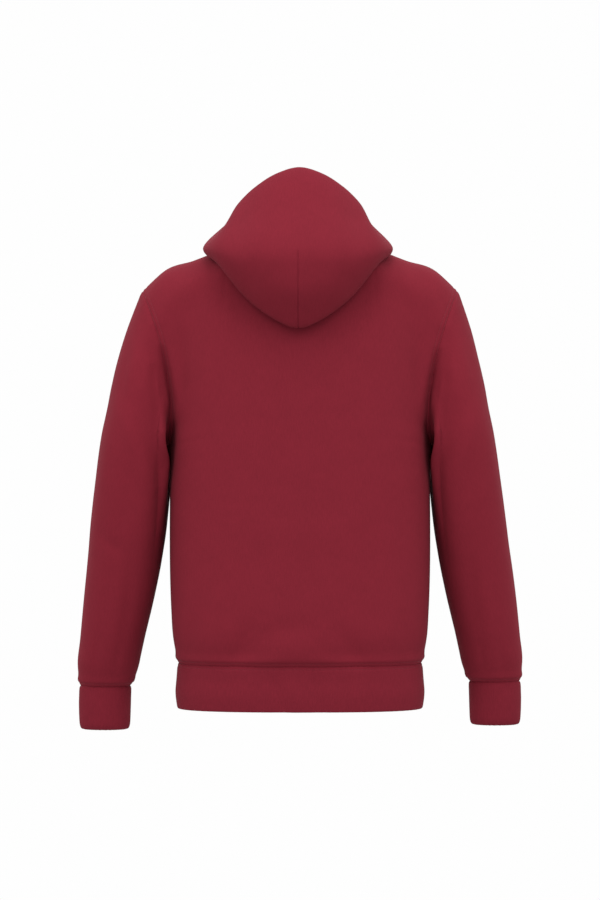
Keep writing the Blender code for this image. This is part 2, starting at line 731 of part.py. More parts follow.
def hard_pieces(tape, metal):
    """The zip's box, slider and pull tab."""
    place, frame = zip_frame(tape, 0)
    foot = tape[0, 0] * (0, 1, 1) + frame[2] * TAPE_WALL / 2
    box = block_object(
        "zip_box", [block(BOX_WIDTH, (0.0, BOX_LENGTH), (ZIP_GAP, ZIP_GAP + BOX_DEPTH))], [], frame, foot
    )
    place, frame = zip_frame(tape, len(tape) - 2)
    ends = (-SLIDER_LENGTH / 2, SLIDER_LENGTH / 2)
    behind = -TAPE_WALL - ZIP_GAP
    face = ZIP_GAP + SLIDER_PLATE
    hinge = face + BRIDGE_CLEAR
    loop = BRIDGE_CLEAR + BRIDGE_WALL
    slider = block_object(
        "zip_slider",
        [
            block(SLIDER_WIDTH, ends, (behind - SLIDER_PLATE, behind)),
            block(POST_WIDTH, (-POST_LENGTH / 2, POST_LENGTH / 2), (behind, ZIP_GAP)),
            block(SLIDER_WIDTH, ends, (ZIP_GAP, face)),
            block(BRIDGE_WIDTH, (-loop, loop), (face, hinge + loop)),
        ],
        [block(BRIDGE_WIDTH, (-BRIDGE_CLEAR, BRIDGE_CLEAR), (face, hinge + BRIDGE_CLEAR))],
        frame,
        place,
    )
    walls = (-TAB_WALL / 2, TAB_WALL / 2)
    pull = block_object(
        "zip_pull",
        [block(TAB_WIDTH, (-TAB_LENGTH, TAB_END), walls)],
        [block(EYE_WIDTH, (-TAB_END - EYE_LENGTH, -TAB_END), walls)],
        frame,
        place + frame[2] * hinge,
    )
    for made in (box, slider, pull):
        made.data.materials.append(metal)


def cloth_pieces():
    """Every cloth piece: its middle surface, whether it closes round, its outward sign and its wall."""
    back = back_grid()
    front = front_grid()
    right_front = mirrored(front)
    left_sleeve, right_sleeve = sleeve_grid(1), sleeve_grid(-1)
    hem = np.vstack([front[0], back[0, 1:], right_front[0, ::-1][1:]])
    top_columns = slice(SHOULDER_COLUMNS, SHOULDER_COLUMNS + NECK_COLUMNS + 1)
    front_neck = front[-1, : FRONT_NECK_COLUMNS + 1]
    neck = np.vstack([front_neck, back[-1, top_columns][1:-1], mirrored(front_neck)[::-1]])
    band = band_grid(hem)
    tape = zip_lines(front, band)
    return {
        "back": (back, False, 1, WALL),
        "front_left": (front, False, 1, WALL),
        "front_right": (right_front, False, -1, WALL),
        "sleeve_left": (left_sleeve, True, -1, WALL),
        "sleeve_right": (right_sleeve, True, 1, WALL),
        "cuff_left": (cuff_grid(1), True, -1, RIB_WALL),
        "cuff_right": (cuff_grid(-1), True, 1, RIB_WALL),
        "hem_band": (band, False, 1, RIB_WALL),
        "hood": (hood_grid(neck), False, 1, WALL),
        "zip_tape_left": (tape, False, 1, TAPE_WALL),
        "zip_tape_right": (mirrored(tape), False, -1, TAPE_WALL),
    }


def build():
    clear_scene()
    fleece = material("fleece", FLEECE, 0.9)
    rib = material("rib_knit", RIB, 0.9)
    tape = material("zip_tape", TAPE, 0.8)
    metal = material("nickel", METAL, 0.3, 1.0)
    finishes = {"cuff": rib, "hem": rib, "zip": tape}
    pieces = cloth_pieces()
    shared = seam_directions(pieces)
    for name, (grid, looped, outward, thickness) in pieces.items():
        made = wall_mesh(name, grid, looped, outward, thickness, shared)
        made.data.materials.append(finishes.get(name.split("_")[0], fleece))
    hard_pieces(pieces["zip_tape_left"][0], metal)


build()
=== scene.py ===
# %% [markdown]
# # A zip-up hoodie, filled out as worn
#
# The hoodie stands in the air as if somebody wore it: its hood lies on its back, its sleeves hang
# beside the body and its zip is closed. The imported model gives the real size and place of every
# cut piece. Here each piece gets a fine mesh, its creases, its stitches and its cloth.
# All tables are in millimetres, because a maker thinks in them, and meshes are made in metres.

# %% The frame and the units
import math

import bmesh
import bpy
import numpy as np
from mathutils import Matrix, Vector
from mathutils.kdtree import KDTree


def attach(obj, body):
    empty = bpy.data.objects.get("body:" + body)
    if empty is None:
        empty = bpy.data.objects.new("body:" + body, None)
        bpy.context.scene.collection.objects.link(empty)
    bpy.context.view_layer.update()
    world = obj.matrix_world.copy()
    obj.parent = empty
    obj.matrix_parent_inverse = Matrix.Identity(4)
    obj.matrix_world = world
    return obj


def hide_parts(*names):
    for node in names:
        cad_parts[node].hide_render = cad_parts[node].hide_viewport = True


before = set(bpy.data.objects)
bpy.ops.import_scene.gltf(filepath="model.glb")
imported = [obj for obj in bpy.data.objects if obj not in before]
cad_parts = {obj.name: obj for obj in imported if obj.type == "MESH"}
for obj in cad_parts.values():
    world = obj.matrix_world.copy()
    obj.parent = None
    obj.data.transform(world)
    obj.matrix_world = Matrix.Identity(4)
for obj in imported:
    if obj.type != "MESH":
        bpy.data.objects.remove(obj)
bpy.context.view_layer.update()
MM = 0.001
print("nodes:", sorted(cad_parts))

# %% [markdown]
# ## The cloth
#
# A zip hoodie of this kind is cut from brushed-back fleece: a smooth knit face with a soft back.
# Its waistband and cuffs are a doubled rib knit. First come the sizes that every step shares.

# %% Sizes of the cloth
WALL = 2.2  # thickness of the brushed fleece
RIB_WALL = 2.6  # thickness of the doubled rib knit

HEM_SEAM = -632.0  # heights of the waistband's two edges
HEM_END = -699.0
CUFF_SEAM = -662.0  # heights of the right cuff's two edges
CUFF_END = -729.0
LEFT_ARM_LOWER = 7.0  # how much lower the left arm hangs
LEFT_ARM_LONGER = (120.0, 480.0)  # depths between which it gains that length
FRONT_EDGE = 6.0  # from the centre front to each front's edge, where the zip shows

# %% Lines across each piece
# How many cells each coarse grid has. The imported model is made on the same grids.
SHOULDER_COLUMNS = 4  # along a shoulder seam
NECK_COLUMNS = 12  # across the back of the neck
FRONT_NECK_COLUMNS = 6  # from a shoulder seam to the centre front
LEVEL_ROWS = 6  # from the hem seam to the last level row of the panels
SIDE_ROWS = 3  # from there to the underarm
ARMHOLE_ROWS = 9  # from the underarm to the shoulder, front and back alike
SLEEVE_ROWS = 16  # from the armhole to the cuff
CUFF_PARTS = (0.0, 0.45, 0.91, 1.0)  # places of a cuff's rings, down from its seam
BAND_ROWS = 3
HOOD_ROWS = 20  # from the neck seam over the hood to its face edge

# %% [markdown]
# ## The body form
#
# On the real thing a wearer fills the cloth. Sculpting that would work, but then the seams would have
# to be fitted by hand. Here the torso and the arms are level sections through a few heights, with a
# smooth curve between them. Asking how far a point is from that form is then a short sum, and two
# such distances blend into one at the shoulder with a rounded minimum.

# %% The torso and arm tables
# The torso as level sections: height, half width, depth to the front, depth to the back, squareness.
TORSO = (
    (-720.0, 181.0, 113.0, 107.0, 2.7),
    (-699.0, 181.5, 114.0, 108.0, 2.7),
    (-668.0, 184.5, 117.0, 111.0, 2.7),
    (-632.0, 180.5, 116.0, 110.0, 2.7),
    (-620.0, 184.5, 122.0, 116.0, 2.75),
    (-600.0, 187.0, 126.0, 119.0, 2.8),
    (-560.0, 190.0, 128.0, 121.0, 2.8),
    (-480.0, 192.5, 128.0, 121.0, 2.8),
    (-400.0, 192.5, 126.0, 121.0, 2.8),
    (-290.0, 192.0, 121.0, 119.0, 2.8),
    (-200.0, 194.0, 110.0, 114.0, 2.75),
    (-140.0, 200.0, 97.0, 107.0, 2.7),
    (-110.0, 207.0, 87.0, 101.0, 2.65),
    (-80.0, 214.0, 76.0, 93.0, 2.6),
    (-54.0, 199.0, 65.0, 84.0, 2.5),
    (-36.0, 160.0, 57.0, 76.0, 2.35),
    (-14.0, 108.0, 46.0, 65.0, 2.2),
    (0.0, 78.0, 36.0, 60.0, 2.1),
    (15.0, 66.0, 32.0, 57.0, 2.0),
    (60.0, 58.0, 28.0, 55.0, 2.0),
)

# The right arm as level sections: height, how far out its middle is, the middle's y, half width, half
# depth and squareness. The left arm is the same one mirrored, and longer.
ARM = (
    (-729.0, 293.0, -40.0, 32.5, 25.0, 2.0),
    (-722.0, 293.0, -39.5, 36.8, 29.5, 2.0),
    (-694.0, 293.0, -38.0, 37.8, 31.5, 2.0),
    (-662.0, 292.0, -36.0, 37.5, 31.5, 2.0),
    (-651.0, 291.2, -35.0, 42.5, 37.0, 2.0),
    (-636.0, 288.5, -33.0, 44.5, 42.5, 2.05),
    (-600.0, 282.5, -28.0, 46.5, 50.0, 2.1),
    (-536.0, 271.5, -20.0, 51.0, 58.0, 2.2),
    (-465.0, 260.0, -13.0, 55.0, 66.0, 2.35),
    (-420.0, 252.5, -9.0, 58.5, 71.0, 2.45),
    (-358.0, 242.5, -5.0, 61.0, 77.0, 2.6),
    (-286.0, 228.0, -1.0, 65.0, 82.0, 2.6),
    (-250.0, 219.0, 0.0, 66.0, 81.0, 2.5),
    (-197.0, 208.0, 0.0, 66.5, 76.0, 2.3),
    (-143.0, 196.0, 0.0, 62.5, 66.0, 2.1),
    (-107.0, 190.0, 0.0, 57.0, 57.0, 2.0),
    (-89.0, 187.0, 0.0, 53.0, 49.0, 2.0),
    (-71.0, 185.0, 0.0, 43.0, 38.0, 2.0),
    (-58.0, 184.0, 0.0, 32.0, 27.0, 2.0),
    (-50.0, 184.0, 0.0, 19.0, 16.0, 2.0),
    (-46.0, 184.0, 0.0, 4.0, 3.0, 2.0),
)

# How much closer in the right sleeve's outer side hangs than the left one's, by height.
CLOSER = ((-570.0, 0.0), (-500.0, 1.5), (-430.0, 5.0), (-358.0, 6.5), (-286.0, 7.0), (-230.0, 6.0),
          (-150.0, 4.0), (-110.0, 0.0))

# %% Where torso and sleeve meet
UNDERARM = -308.0  # height of the armhole's lowest point
ARMHOLE_FOOT = 194.5  # half width there, midway between the torso's side and the sleeve
ARMHOLE_MIDDLE = -190.0
ARMHOLE_TALL = 226.0  # from the underarm to about the shoulder point
ARMHOLE_OUT = 40.0  # how much further out the seam is up there
ARMHOLE_BEND = 1.8  # over 1, so that it leans out more and more on its way up
ARMHOLE_SCOOP = 9.0  # how far the seam curves in at this far to the back or to the chest:
ARMHOLE_SIDE = 80.0
LEVEL_TOP = -400.0  # height of the last level row of the panels
CHEST_AXIS = -130.0  # above this height, the chest and the back are seen as round a level axis
CHEST_HALF = 150.0  # half length of that axis
SHOULDER_AXIS = -130.0  # above this height, the sleeve is seen as round one point of the arm
SHOULDER_RAYS = -150.0  # the height from which rays go up to the shoulder seam
PATCH_ROUNDS = 10  # how often a panel's grid is evened out
SLEEVE_ROUNDS = 10

# Where torso and sleeve meet: height, how far the sleeve keeps off the torso (it runs into it where
# this is under 0), and how far they round into each other.
MEETING = ((-440.0, 7.0, 16.0), (-352.0, 8.0, 18.0), (-326.0, 14.0, 20.0), (-308.0, 11.0, 20.0),
           (-290.0, -8.0, 14.0), (-240.0, -33.0, 14.0), (-120.0, -33.0, 34.0), (-90.0, -33.0, 28.0),
           (-50.0, -33.0, 9.0))
MEETING_RISE = 30.0  # they meet this much higher at this far to the back or to the chest:
MEETING_SIDE = 60.0
MEETING_LAST = 90.0  # and no higher still past this far
KEEP_OFF_ROUND = 14.0  # how softly the sleeve starts to keep off the torso
TORSO_PARTS = UNDERARM + 4.0  # below these heights, the torso and the sleeve know nothing of each other
SLEEVE_PARTS = UNDERARM + 9.0
PART_RATE = 8.0  # how fast they part there

# %% The neck and the hood
# The neck seam's height by its bearing: 0 degrees is the centre front, 90 a shoulder and 180 the back.
NECK = ((0.0, -78.0), (25.0, -60.0), (50.0, -27.0), (75.0, -3.0), (90.0, 0.0), (115.0, -3.0),
        (145.0, -10.0), (180.0, -14.0))

# How far the back of the hood lies over to the left, at each point of a section.
HOOD_LEAN = (0.0, 0.8, 2.5, 3.0, 2.2, 0.8, 0.5)
HOOD_EVEN = 0.7  # under 1, so that a section bends evenly between points at uneven distances

# The hood's sections. Each starts at the neck seam at its bearing and runs over these points (x, y, z):
# up the neck, back and down inside, round the lowest fold, out over the belly and up to the face edge.
HOOD = (
    (0.0, (6.6, -84, -70), (7, -89, -62), (7.6, -92, -56), (8, -92, -51), (8.4, -94, -46),
     (8.8, -95, -41), (9, -95, -37)),
    (38.0, (51, -71, -24), (65, -80, -22), (78, -86, -20), (80, -85, -6), (74, -79, 8),
     (66, -70, 15), (59, -64, 10)),
    (75.0, (80, -23, 12), (98, -26, 12), (114, -26, -3), (116, -25, 7), (105, -18, 23),
     (92, -10, 36), (81, -8, 29)),
    (101.0, (79, 15, 16), (103, 28, 12), (135, 46, -26), (139, 52, -20), (107, 45, 13),
     (90, 36, 42), (78, 32, 36)),
    (118.0, (72, 38, 17), (94, 65, -5), (116, 94, -44), (124, 107, -26), (104, 92, 16),
     (81, 64, 52), (69, 52, 46)),
    (140.0, (55, 66, 12), (68, 94, -26), (76, 109, -93), (88, 147, -38), (80, 118, 20),
     (62, 78, 70), (52, 62, 62)),
    (161.0, (28, 78, 5), (32, 104, -46), (34, 121, -125), (45, 166, -40), (43, 133, 33),
     (33, 87, 88), (27, 67, 78)),
    (180.0, (0, 80, 4), (0, 108, -50), (0, 125, -138), (0, 172, -42), (0, 138, 38),
     (0, 90, 97), (0, 68, 85)),
)


# %% A smooth curve through a table
def through(stations, values, at):
    """A smooth curve through the values at the rising stations, held level past both ends."""
    stations = np.asarray(stations, float)
    values = np.asarray(values, float)
    step = np.diff(stations)
    step_of = step.reshape((-1,) + (1,) * (values.ndim - 1))
    rise = np.diff(values, axis=0) / step_of
    slope = np.empty_like(values)
    slope[0], slope[-1] = rise[0], rise[-1]
    slope[1:-1] = (rise[:-1] * step_of[1:] + rise[1:] * step_of[:-1]) / (step_of[1:] + step_of[:-1])
    at = np.clip(np.asarray(at, float), stations[0], stations[-1])
    piece = np.clip(np.searchsorted(stations, at, side="right") - 1, 0, len(step) - 1)
    wide = at.shape + (1,) * (values.ndim - 1)
    part = ((at - stations[piece]) / step[piece]).reshape(wide)
    span = step[piece].reshape(wide)
    return (
        values[piece] * (1 + 2 * part) * (1 - part) ** 2
        + values[piece + 1] * part**2 * (3 - 2 * part)
        + slope[piece] * span * part * (1 - part) ** 2
        + slope[piece + 1] * span * part**2 * (part - 1)
    )


# %% Distances from the form
TORSO_ROWS = np.array(TORSO)
ARM_ROWS = np.array(ARM)
CLOSER_ROWS = np.array(CLOSER)
MEETING_ROWS = np.array(MEETING)
TINY = 1e-9  # keeps a power's slope finite at 0
LEAST_SLOPE = 1e-3  # and a distance finite where a ratio is level


def ramp(value, start, end):
    """0 up to the start, 1 from the end on and a smooth rise between."""
    part = np.clip((value - start) / (end - start), 0.0, 1.0)
    return part * part * (3 - 2 * part)


def torso_ratio(points):
    """Under 1 inside the torso and over 1 outside it."""
    x, y, z = np.moveaxis(points, -1, 0)
    row = through(TORSO_ROWS[:, 0], TORSO_ROWS[:, 1:], z)
    half_width, front, back, square = np.moveaxis(row, -1, 0)
    depth = np.where(y < 0, front, back)
    return (np.abs(x / half_width) ** square + np.abs(y / depth) ** square + TINY) ** (1 / square)


def arm_height(x, z):
    """The height on the right arm's table that matches z, because the left arm hangs lower."""
    return z + LEFT_ARM_LOWER * ramp(-z, *LEFT_ARM_LONGER) * (x > 0)


def arm_ratio(points):
    """Under 1 inside either arm and over 1 outside it."""
    x, y, z = np.moveaxis(points, -1, 0)
    row = through(ARM_ROWS[:, 0], ARM_ROWS[:, 1:], arm_height(x, z))
    middle_x, middle_y, half_width, half_depth, square = np.moveaxis(row, -1, 0)
    out = np.abs(x) - middle_x
    closer = through(CLOSER_ROWS[:, 0], CLOSER_ROWS[:, 1], z) * (x < 0) * (out > 0)
    across = np.abs(out / (half_width - closer))
    along = np.abs((y - middle_y) / half_depth)
    above = np.maximum(z - ARM_ROWS[-1, 0], 0) / ARM_ROWS[-1, 3]
    return (across**square + along**square + TINY) ** (1 / square) + above


def slope_of(field, points, reach=0.5):
    """The field's gradient."""
    steps = reach * np.eye(3)
    return np.stack([(field(points + s) - field(points - s)) / (2 * reach) for s in steps], axis=-1)


def distance(ratio, points):
    """About how far points are outside a form, from its ratio. Inside, it is under 0."""
    steepness = np.linalg.norm(slope_of(ratio, points), axis=-1)
    return (ratio(points) - 1) / np.maximum(steepness, LEAST_SLOPE)


# %% One form from two
def blended(first, second, reach):
    """The lower of two distances, rounded where they are within reach of each other."""
    near = np.maximum(reach - np.abs(first - second), 0) / reach
    return np.minimum(first, second) - near * near * reach / 4


def meeting_height(points):
    """The height on the table of meetings that matches each point."""
    aside = np.minimum(np.abs(points[..., 1]), MEETING_LAST)
    return points[..., 2] - MEETING_RISE * (aside / MEETING_SIDE) ** 2


def parts_of(points):
    """Distances from the torso and from the arms, and how far they round into each other."""
    torso = distance(torso_ratio, points)
    meeting = through(MEETING_ROWS[:, 0], MEETING_ROWS[:, 1:], meeting_height(points))
    clear, reach = np.moveaxis(meeting, -1, 0)
    arm = -blended(-distance(arm_ratio, points), torso - clear, KEEP_OFF_ROUND)
    return torso, arm, reach


def apart(points, height):
    """Added to the other part's distance, so that torso and sleeve part below this height."""
    return PART_RATE * np.maximum(height - meeting_height(points), 0)


def form(points):
    """The whole body form: torso and arms together."""
    return blended(*parts_of(points))


def torso_form(points):
    """The torso alone below the underarm, and the whole form above it."""
    torso, arm, reach = parts_of(points)
    return blended(torso, arm + apart(points, TORSO_PARTS), reach)


def sleeve_form(points):
    """The arms alone below the underarm, and the whole form above it."""
    torso, arm, reach = parts_of(points)
    return blended(arm, torso + apart(points, SLEEVE_PARTS), reach)


# %% [markdown]
# ## Seam lines
#
# A pattern maker draws the seams first, because both pieces at a seam have to be the same length
# there. Each seam here is found by casting rays from inside the form until they leave it.

# %% Casting rays onto the form
CAST_STEPS = 48  # steps along a ray
CAST_HALVINGS = 16  # of the step in which it leaves the form


def cast(field, place, shape, reach, nearest=2.0):
    """Where each ray leaves the field. place(r) gives its point at r, from the nearest to the reach."""
    step = (reach - nearest) / CAST_STEPS
    low = np.full(shape, nearest)
    going = np.ones(shape, bool)
    for _ in range(CAST_STEPS):
        going &= field(place(low + step)) < 0
        low = low + step * going
    high = low + step
    for _ in range(CAST_HALVINGS):
        middle = (low + high) / 2
        inside = field(place(middle)) < 0
        low = np.where(inside, middle, low)
        high = np.where(inside, high, middle)
    return place((low + high) / 2)


def moved_out(field, root, points, reach):
    """Moves points out to where they leave the field, each straight away from its root."""
    ways = points - root
    ways /= np.linalg.norm(ways, axis=-1, keepdims=True)

    def place(r):
        return root + r[..., None] * ways

    return cast(field, place, points.shape[:-1], reach)


def lifted(points):
    """Moves points out to the form, each straight away from the middle of the torso."""
    x, y, z = np.moveaxis(points, -1, 0)
    root = np.stack([np.clip(x, -CHEST_HALF, CHEST_HALF), 0 * y, np.minimum(z, CHEST_AXIS)], axis=-1)
    return moved_out(torso_form, root, points, reach=200.0)


# %% The seams
def torso_ring(bearings, height):
    """Points round the torso at one height. Bearing 0 is the left side seam and 90 the centre back."""
    turn = np.radians(bearings)
    width, front, back, _ = through(TORSO_ROWS[:, 0], TORSO_ROWS[:, 1:], height)
    across = np.stack([width * np.cos(turn), np.where(turn < 0, front, back) * np.sin(turn)], axis=-1)

    def place(r):
        level = np.full(turn.shape, float(height))
        return np.column_stack([r[:, None] * across, level])

    return cast(torso_form, place, turn.shape, reach=1.6, nearest=0.1)


def front_edge(heights):
    """Points on the left front's edge, beside the centre front."""
    heights = np.asarray(heights, float)

    def place(r):
        return np.column_stack([np.full(r.shape, FRONT_EDGE), -r, heights])

    return cast(torso_form, place, heights.shape, reach=160.0)


def neck_seam(bearings):
    """Points on the neck seam, from the left front (0) round the left shoulder to the back (180)."""
    turn = np.radians(bearings)
    table = np.array(NECK)
    heights = through(table[:, 0], table[:, 1], bearings)

    def place(r):
        return np.column_stack([r * np.sin(turn), -r * np.cos(turn), heights])

    points = cast(torso_form, place, turn.shape, reach=140.0)
    if bearings[0] == 0:
        points[0] = front_edge(heights[:1])[0]
    return points


def armhole(steps, side):
    """The left armhole seam, shoulder point down to underarm, by the back (1) or by the front (-1)."""
    turn = np.linspace(0, math.pi, steps + 1)

    def place(r):
        y = side * r * np.sin(turn)
        z = ARMHOLE_MIDDLE + r * np.cos(turn)
        part = np.clip((z - UNDERARM) / ARMHOLE_TALL, 0, 1.2)
        x = ARMHOLE_FOOT + ARMHOLE_OUT * part**ARMHOLE_BEND - ARMHOLE_SCOOP * (y / ARMHOLE_SIDE) ** 2
        return np.column_stack([x, y, z])

    points = cast(form, place, turn.shape, reach=150.0, nearest=20.0)
    points[[0, -1], 1] = 0.0
    return points


def side_seam(steps, foot):
    """Points up the left side, from the last level row to the underarm."""
    heights = np.linspace(LEVEL_TOP, foot[2], steps + 1)

    def place(r):
        return np.column_stack([r, 0 * r, heights])

    points = cast(torso_form, place, heights.shape, reach=260.0, nearest=100.0)
    points[-1] = foot
    return points


def shoulder_seam(neck_point, shoulder_point, columns):
    """The left shoulder seam, along the top of the shoulder."""
    x = np.linspace(neck_point[0], shoulder_point[0], columns + 1)
    y = np.linspace(neck_point[1], shoulder_point[1], columns + 1)

    def place(r):
        return np.column_stack([x, y, SHOULDER_RAYS + r])

    points = cast(form, place, x.shape, reach=170.0)
    points[0], points[-1] = neck_point, shoulder_point
    return points


# %% [markdown]
# ## The cut pieces
#
# Each panel is a grid between its seams. Its lower rows are level rings. Its upper rows are a patch
# whose four edges are known: the inside is filled in evenly, laid on the form and evened out again.

# %% Patches
def patch(bottom, top, left, right):
    """A grid whose four edges are the given lines, filled in evenly between them."""
    u = np.linspace(0, 1, len(bottom))[None, :, None]
    v = np.linspace(0, 1, len(left))[:, None, None]
    across = (1 - u) * left[:, None] + u * right[:, None]
    along = (1 - v) * bottom[None] + v * top[None]
    corners = (1 - v) * ((1 - u) * bottom[0] + u * bottom[-1]) + v * ((1 - u) * top[0] + u * top[-1])
    return across + along - corners


def lifted_patch(bottom, top, left, right):
    """A patch whose inside lies on the form, evened out there."""
    grid = patch(bottom, top, left, right)
    grid[1:-1, 1:-1] = lifted(grid[1:-1, 1:-1])
    for _ in range(PATCH_ROUNDS):
        evened = (grid[2:, 1:-1] + grid[:-2, 1:-1] + grid[1:-1, 2:] + grid[1:-1, :-2]) / 4
        grid[1:-1, 1:-1] = lifted(evened)
    return grid


def mirrored(points):
    """The same points on the garment's other side."""
    return points * (-1, 1, 1)


# %% The back and the front
def back_grid():
    """The back's middle surface, from the hem seam up and from the left side to the right."""
    columns = 2 * SHOULDER_COLUMNS + NECK_COLUMNS
    bearings = np.linspace(0, 180, columns + 1)
    heights = np.linspace(HEM_SEAM, LEVEL_TOP, LEVEL_ROWS + 1)
    lower = np.array([torso_ring(bearings, z) for z in heights])
    seam = armhole(ARMHOLE_ROWS, 1)[::-1]
    side = np.vstack([side_seam(SIDE_ROWS, seam[0]), seam[1:]])
    neck = neck_seam(np.linspace(90, 270, NECK_COLUMNS + 1))
    neck = np.vstack([neck[: NECK_COLUMNS // 2 + 1], mirrored(neck[: NECK_COLUMNS // 2])[::-1]])
    shoulder = shoulder_seam(neck[0], seam[-1], SHOULDER_COLUMNS)[::-1]
    top = np.vstack([shoulder, neck[1:-1], mirrored(shoulder)[::-1]])
    upper = lifted_patch(lower[-1], top, side, mirrored(side))
    return np.vstack([lower, upper[1:]])


def front_grid():
    """The left front's middle surface, from the hem seam up and from the zip to the side."""
    columns = FRONT_NECK_COLUMNS + SHOULDER_COLUMNS
    heights = np.linspace(HEM_SEAM, LEVEL_TOP, LEVEL_ROWS + 1)
    bearings = np.linspace(-90, 0, columns + 1)
    lower = np.array([torso_ring(bearings, z) for z in heights])
    lower[:, 0] = front_edge(heights)
    seam = armhole(ARMHOLE_ROWS, -1)[::-1]
    side = np.vstack([side_seam(SIDE_ROWS, seam[0]), seam[1:]])
    neck = neck_seam(np.linspace(0, 90, FRONT_NECK_COLUMNS + 1))
    shoulder = shoulder_seam(neck[-1], seam[-1], SHOULDER_COLUMNS)
    top = np.vstack([neck, shoulder[1:]])
    edge = front_edge(np.linspace(LEVEL_TOP, neck[0][2], SIDE_ROWS + ARMHOLE_ROWS + 1))
    upper = lifted_patch(lower[-1], top, edge, side)
    return np.vstack([lower, upper[1:]])


# %% The sleeve
def arm_row(height, side):
    """The arm's middle (x, y), half width and half depth at this height."""
    return through(ARM_ROWS[:, 0], ARM_ROWS[:, 1:5], arm_height(side, height))


def lifted_sleeve(points, side):
    """Moves points out to the sleeve, each straight away from the middle of the arm."""
    height = np.minimum(points[..., 2], SHOULDER_AXIS)
    row = arm_row(height, side)
    root = np.stack([side * row[..., 0], row[..., 1], height], axis=-1)
    return moved_out(sleeve_form, root, points, reach=150.0)


def sleeve_grid(side):
    """A sleeve's middle surface: rings from the armhole to the cuff seam. Side is 1 on the left."""
    seam = np.vstack([armhole(ARMHOLE_ROWS, 1), armhole(ARMHOLE_ROWS, -1)[-2:0:-1]]) * (side, 1, 1)
    end = cuff_ring(CUFF_SEAM - LEFT_ARM_LOWER * (side > 0), side)
    part = np.linspace(0, 1, SLEEVE_ROWS + 1)[:, None, None]
    grid = seam * (1 - part) + end * part
    grid[1:-1] = lifted_sleeve(grid[1:-1], side)
    for _ in range(SLEEVE_ROUNDS):
        around = np.roll(grid, 1, axis=1) + np.roll(grid, -1, axis=1)
        grid[1:-1] = lifted_sleeve((grid[2:] + grid[:-2] + around[1:-1]) / 4, side)
    return grid


def cuff_ring(height, side):
    """A level ring round the wrist, from the outside of the arm round by the back."""
    middle_x, middle_y, half_width, half_depth = arm_row(height, side)
    turn = np.linspace(0, 2 * math.pi, 2 * ARMHOLE_ROWS + 1)[:-1]
    x = side * (middle_x + half_width * np.cos(turn))
    y = middle_y + half_depth * np.sin(turn)
    return np.column_stack([x, y, np.full(turn.shape, height)])


# %% The cuff, the waistband and the hood
def cuff_grid(side):
    """A cuff's middle surface, down from the sleeve's last ring."""
    heights = CUFF_SEAM + (CUFF_END - CUFF_SEAM) * np.array(CUFF_PARTS) - LEFT_ARM_LOWER * (side > 0)
    return np.array([cuff_ring(height, side) for height in heights])


def band_grid(seam):
    """The waistband's middle surface, up from its lower edge to the body's hem seam."""
    rows = []
    across = seam[:, :2]
    top_width, top_front, top_back, _ = through(TORSO_ROWS[:, 0], TORSO_ROWS[:, 1:], HEM_SEAM)
    for part in np.linspace(0, 1, BAND_ROWS + 1)[:-1]:
        height = HEM_END + (HEM_SEAM - HEM_END) * part
        width, front, back, _ = through(TORSO_ROWS[:, 0], TORSO_ROWS[:, 1:], height)
        x = across[:, 0] * width / top_width
        x[0], x[-1] = FRONT_EDGE, -FRONT_EDGE
        y = across[:, 1] * np.where(across[:, 1] < 0, front / top_front, back / top_back)
        rows.append(np.column_stack([x, y, np.full(len(x), height)]))
    return np.array(rows + [seam])


def hood_grid(neck, bearings, rows):
    """The hood's middle surface: up from the neck seam to the face edge, and from left to right front."""
    half = [(bearing, np.array(points, float)) for bearing, *points in HOOD]
    stations = [bearing for bearing, _ in half] + [360 - bearing for bearing, _ in half[-2::-1]]
    rails = [points for _, points in half] + [mirrored(points) for _, points in half[-2::-1]]
    placed = through(stations, np.array(rails), bearings)
    behind = 1 - np.maximum(np.cos(np.radians(bearings)), 0)
    placed[..., 0] += behind[:, None] * np.array(HOOD_LEAN)
    columns = []
    for start, rail in zip(neck, placed):
        line = np.vstack([start, rail])
        steps = np.linalg.norm(np.diff(line, axis=0), axis=1)
        run = np.concatenate([[0], np.cumsum(steps**HOOD_EVEN)])
        columns.append(through(run, line, run[-1] * rows / HOOD_ROWS))
    return np.array(columns).swapaxes(0, 1)


def hood_bearings():
    """The bearings of the neck seam's coarse points, from the left front round to the right front."""
    front = np.linspace(0, 90, FRONT_NECK_COLUMNS + 1)
    back = np.linspace(90, 270, NECK_COLUMNS + 1)
    return np.concatenate([front, back[1:-1], 360 - front[::-1]])


def grid_normals(grid, looped):
    """Unit normals on a grid: rows cross columns."""
    if looped:
        along = np.roll(grid, -1, axis=1) - np.roll(grid, 1, axis=1)
    else:
        along = np.gradient(grid, axis=1)
    normals = np.cross(along, np.gradient(grid, axis=0))
    return normals / np.linalg.norm(normals, axis=-1, keepdims=True)


# %% The zip tape
TAPE_WALL = 0.9
TAPE_WIDTH = 16.0
TAPE_FROM_CENTRE = 0.9  # to the tape's inner edge
TAPE_BEHIND = 0.6  # clear of the inside of the fronts
TAPE_SHORT = 1.6  # from the neck seam and the band's lower edge to the tape's ends


def zip_lines(front, band):
    """The left tape's middle surface, from the band's lower edge up to the neck, behind the fronts."""
    edge = np.vstack([band[:, 0], front[1:, 0]])
    nearby = np.vstack([band[:, 1], front[1:, 1]])
    across = (nearby - edge) / (nearby - edge)[:, :1]
    edge[0, 2] += TAPE_SHORT
    edge[-1] -= (edge[-1] - edge[-2]) * TAPE_SHORT / np.linalg.norm(edge[-1] - edge[-2])
    steps = TAPE_FROM_CENTRE + TAPE_WIDTH * np.array((0.0, 0.5, 1.0))
    grid = np.stack([edge + across * (step - FRONT_EDGE) for step in steps], axis=1)
    return grid - grid_normals(grid, False) * (RIB_WALL / 2 + TAPE_BEHIND + TAPE_WALL / 2)


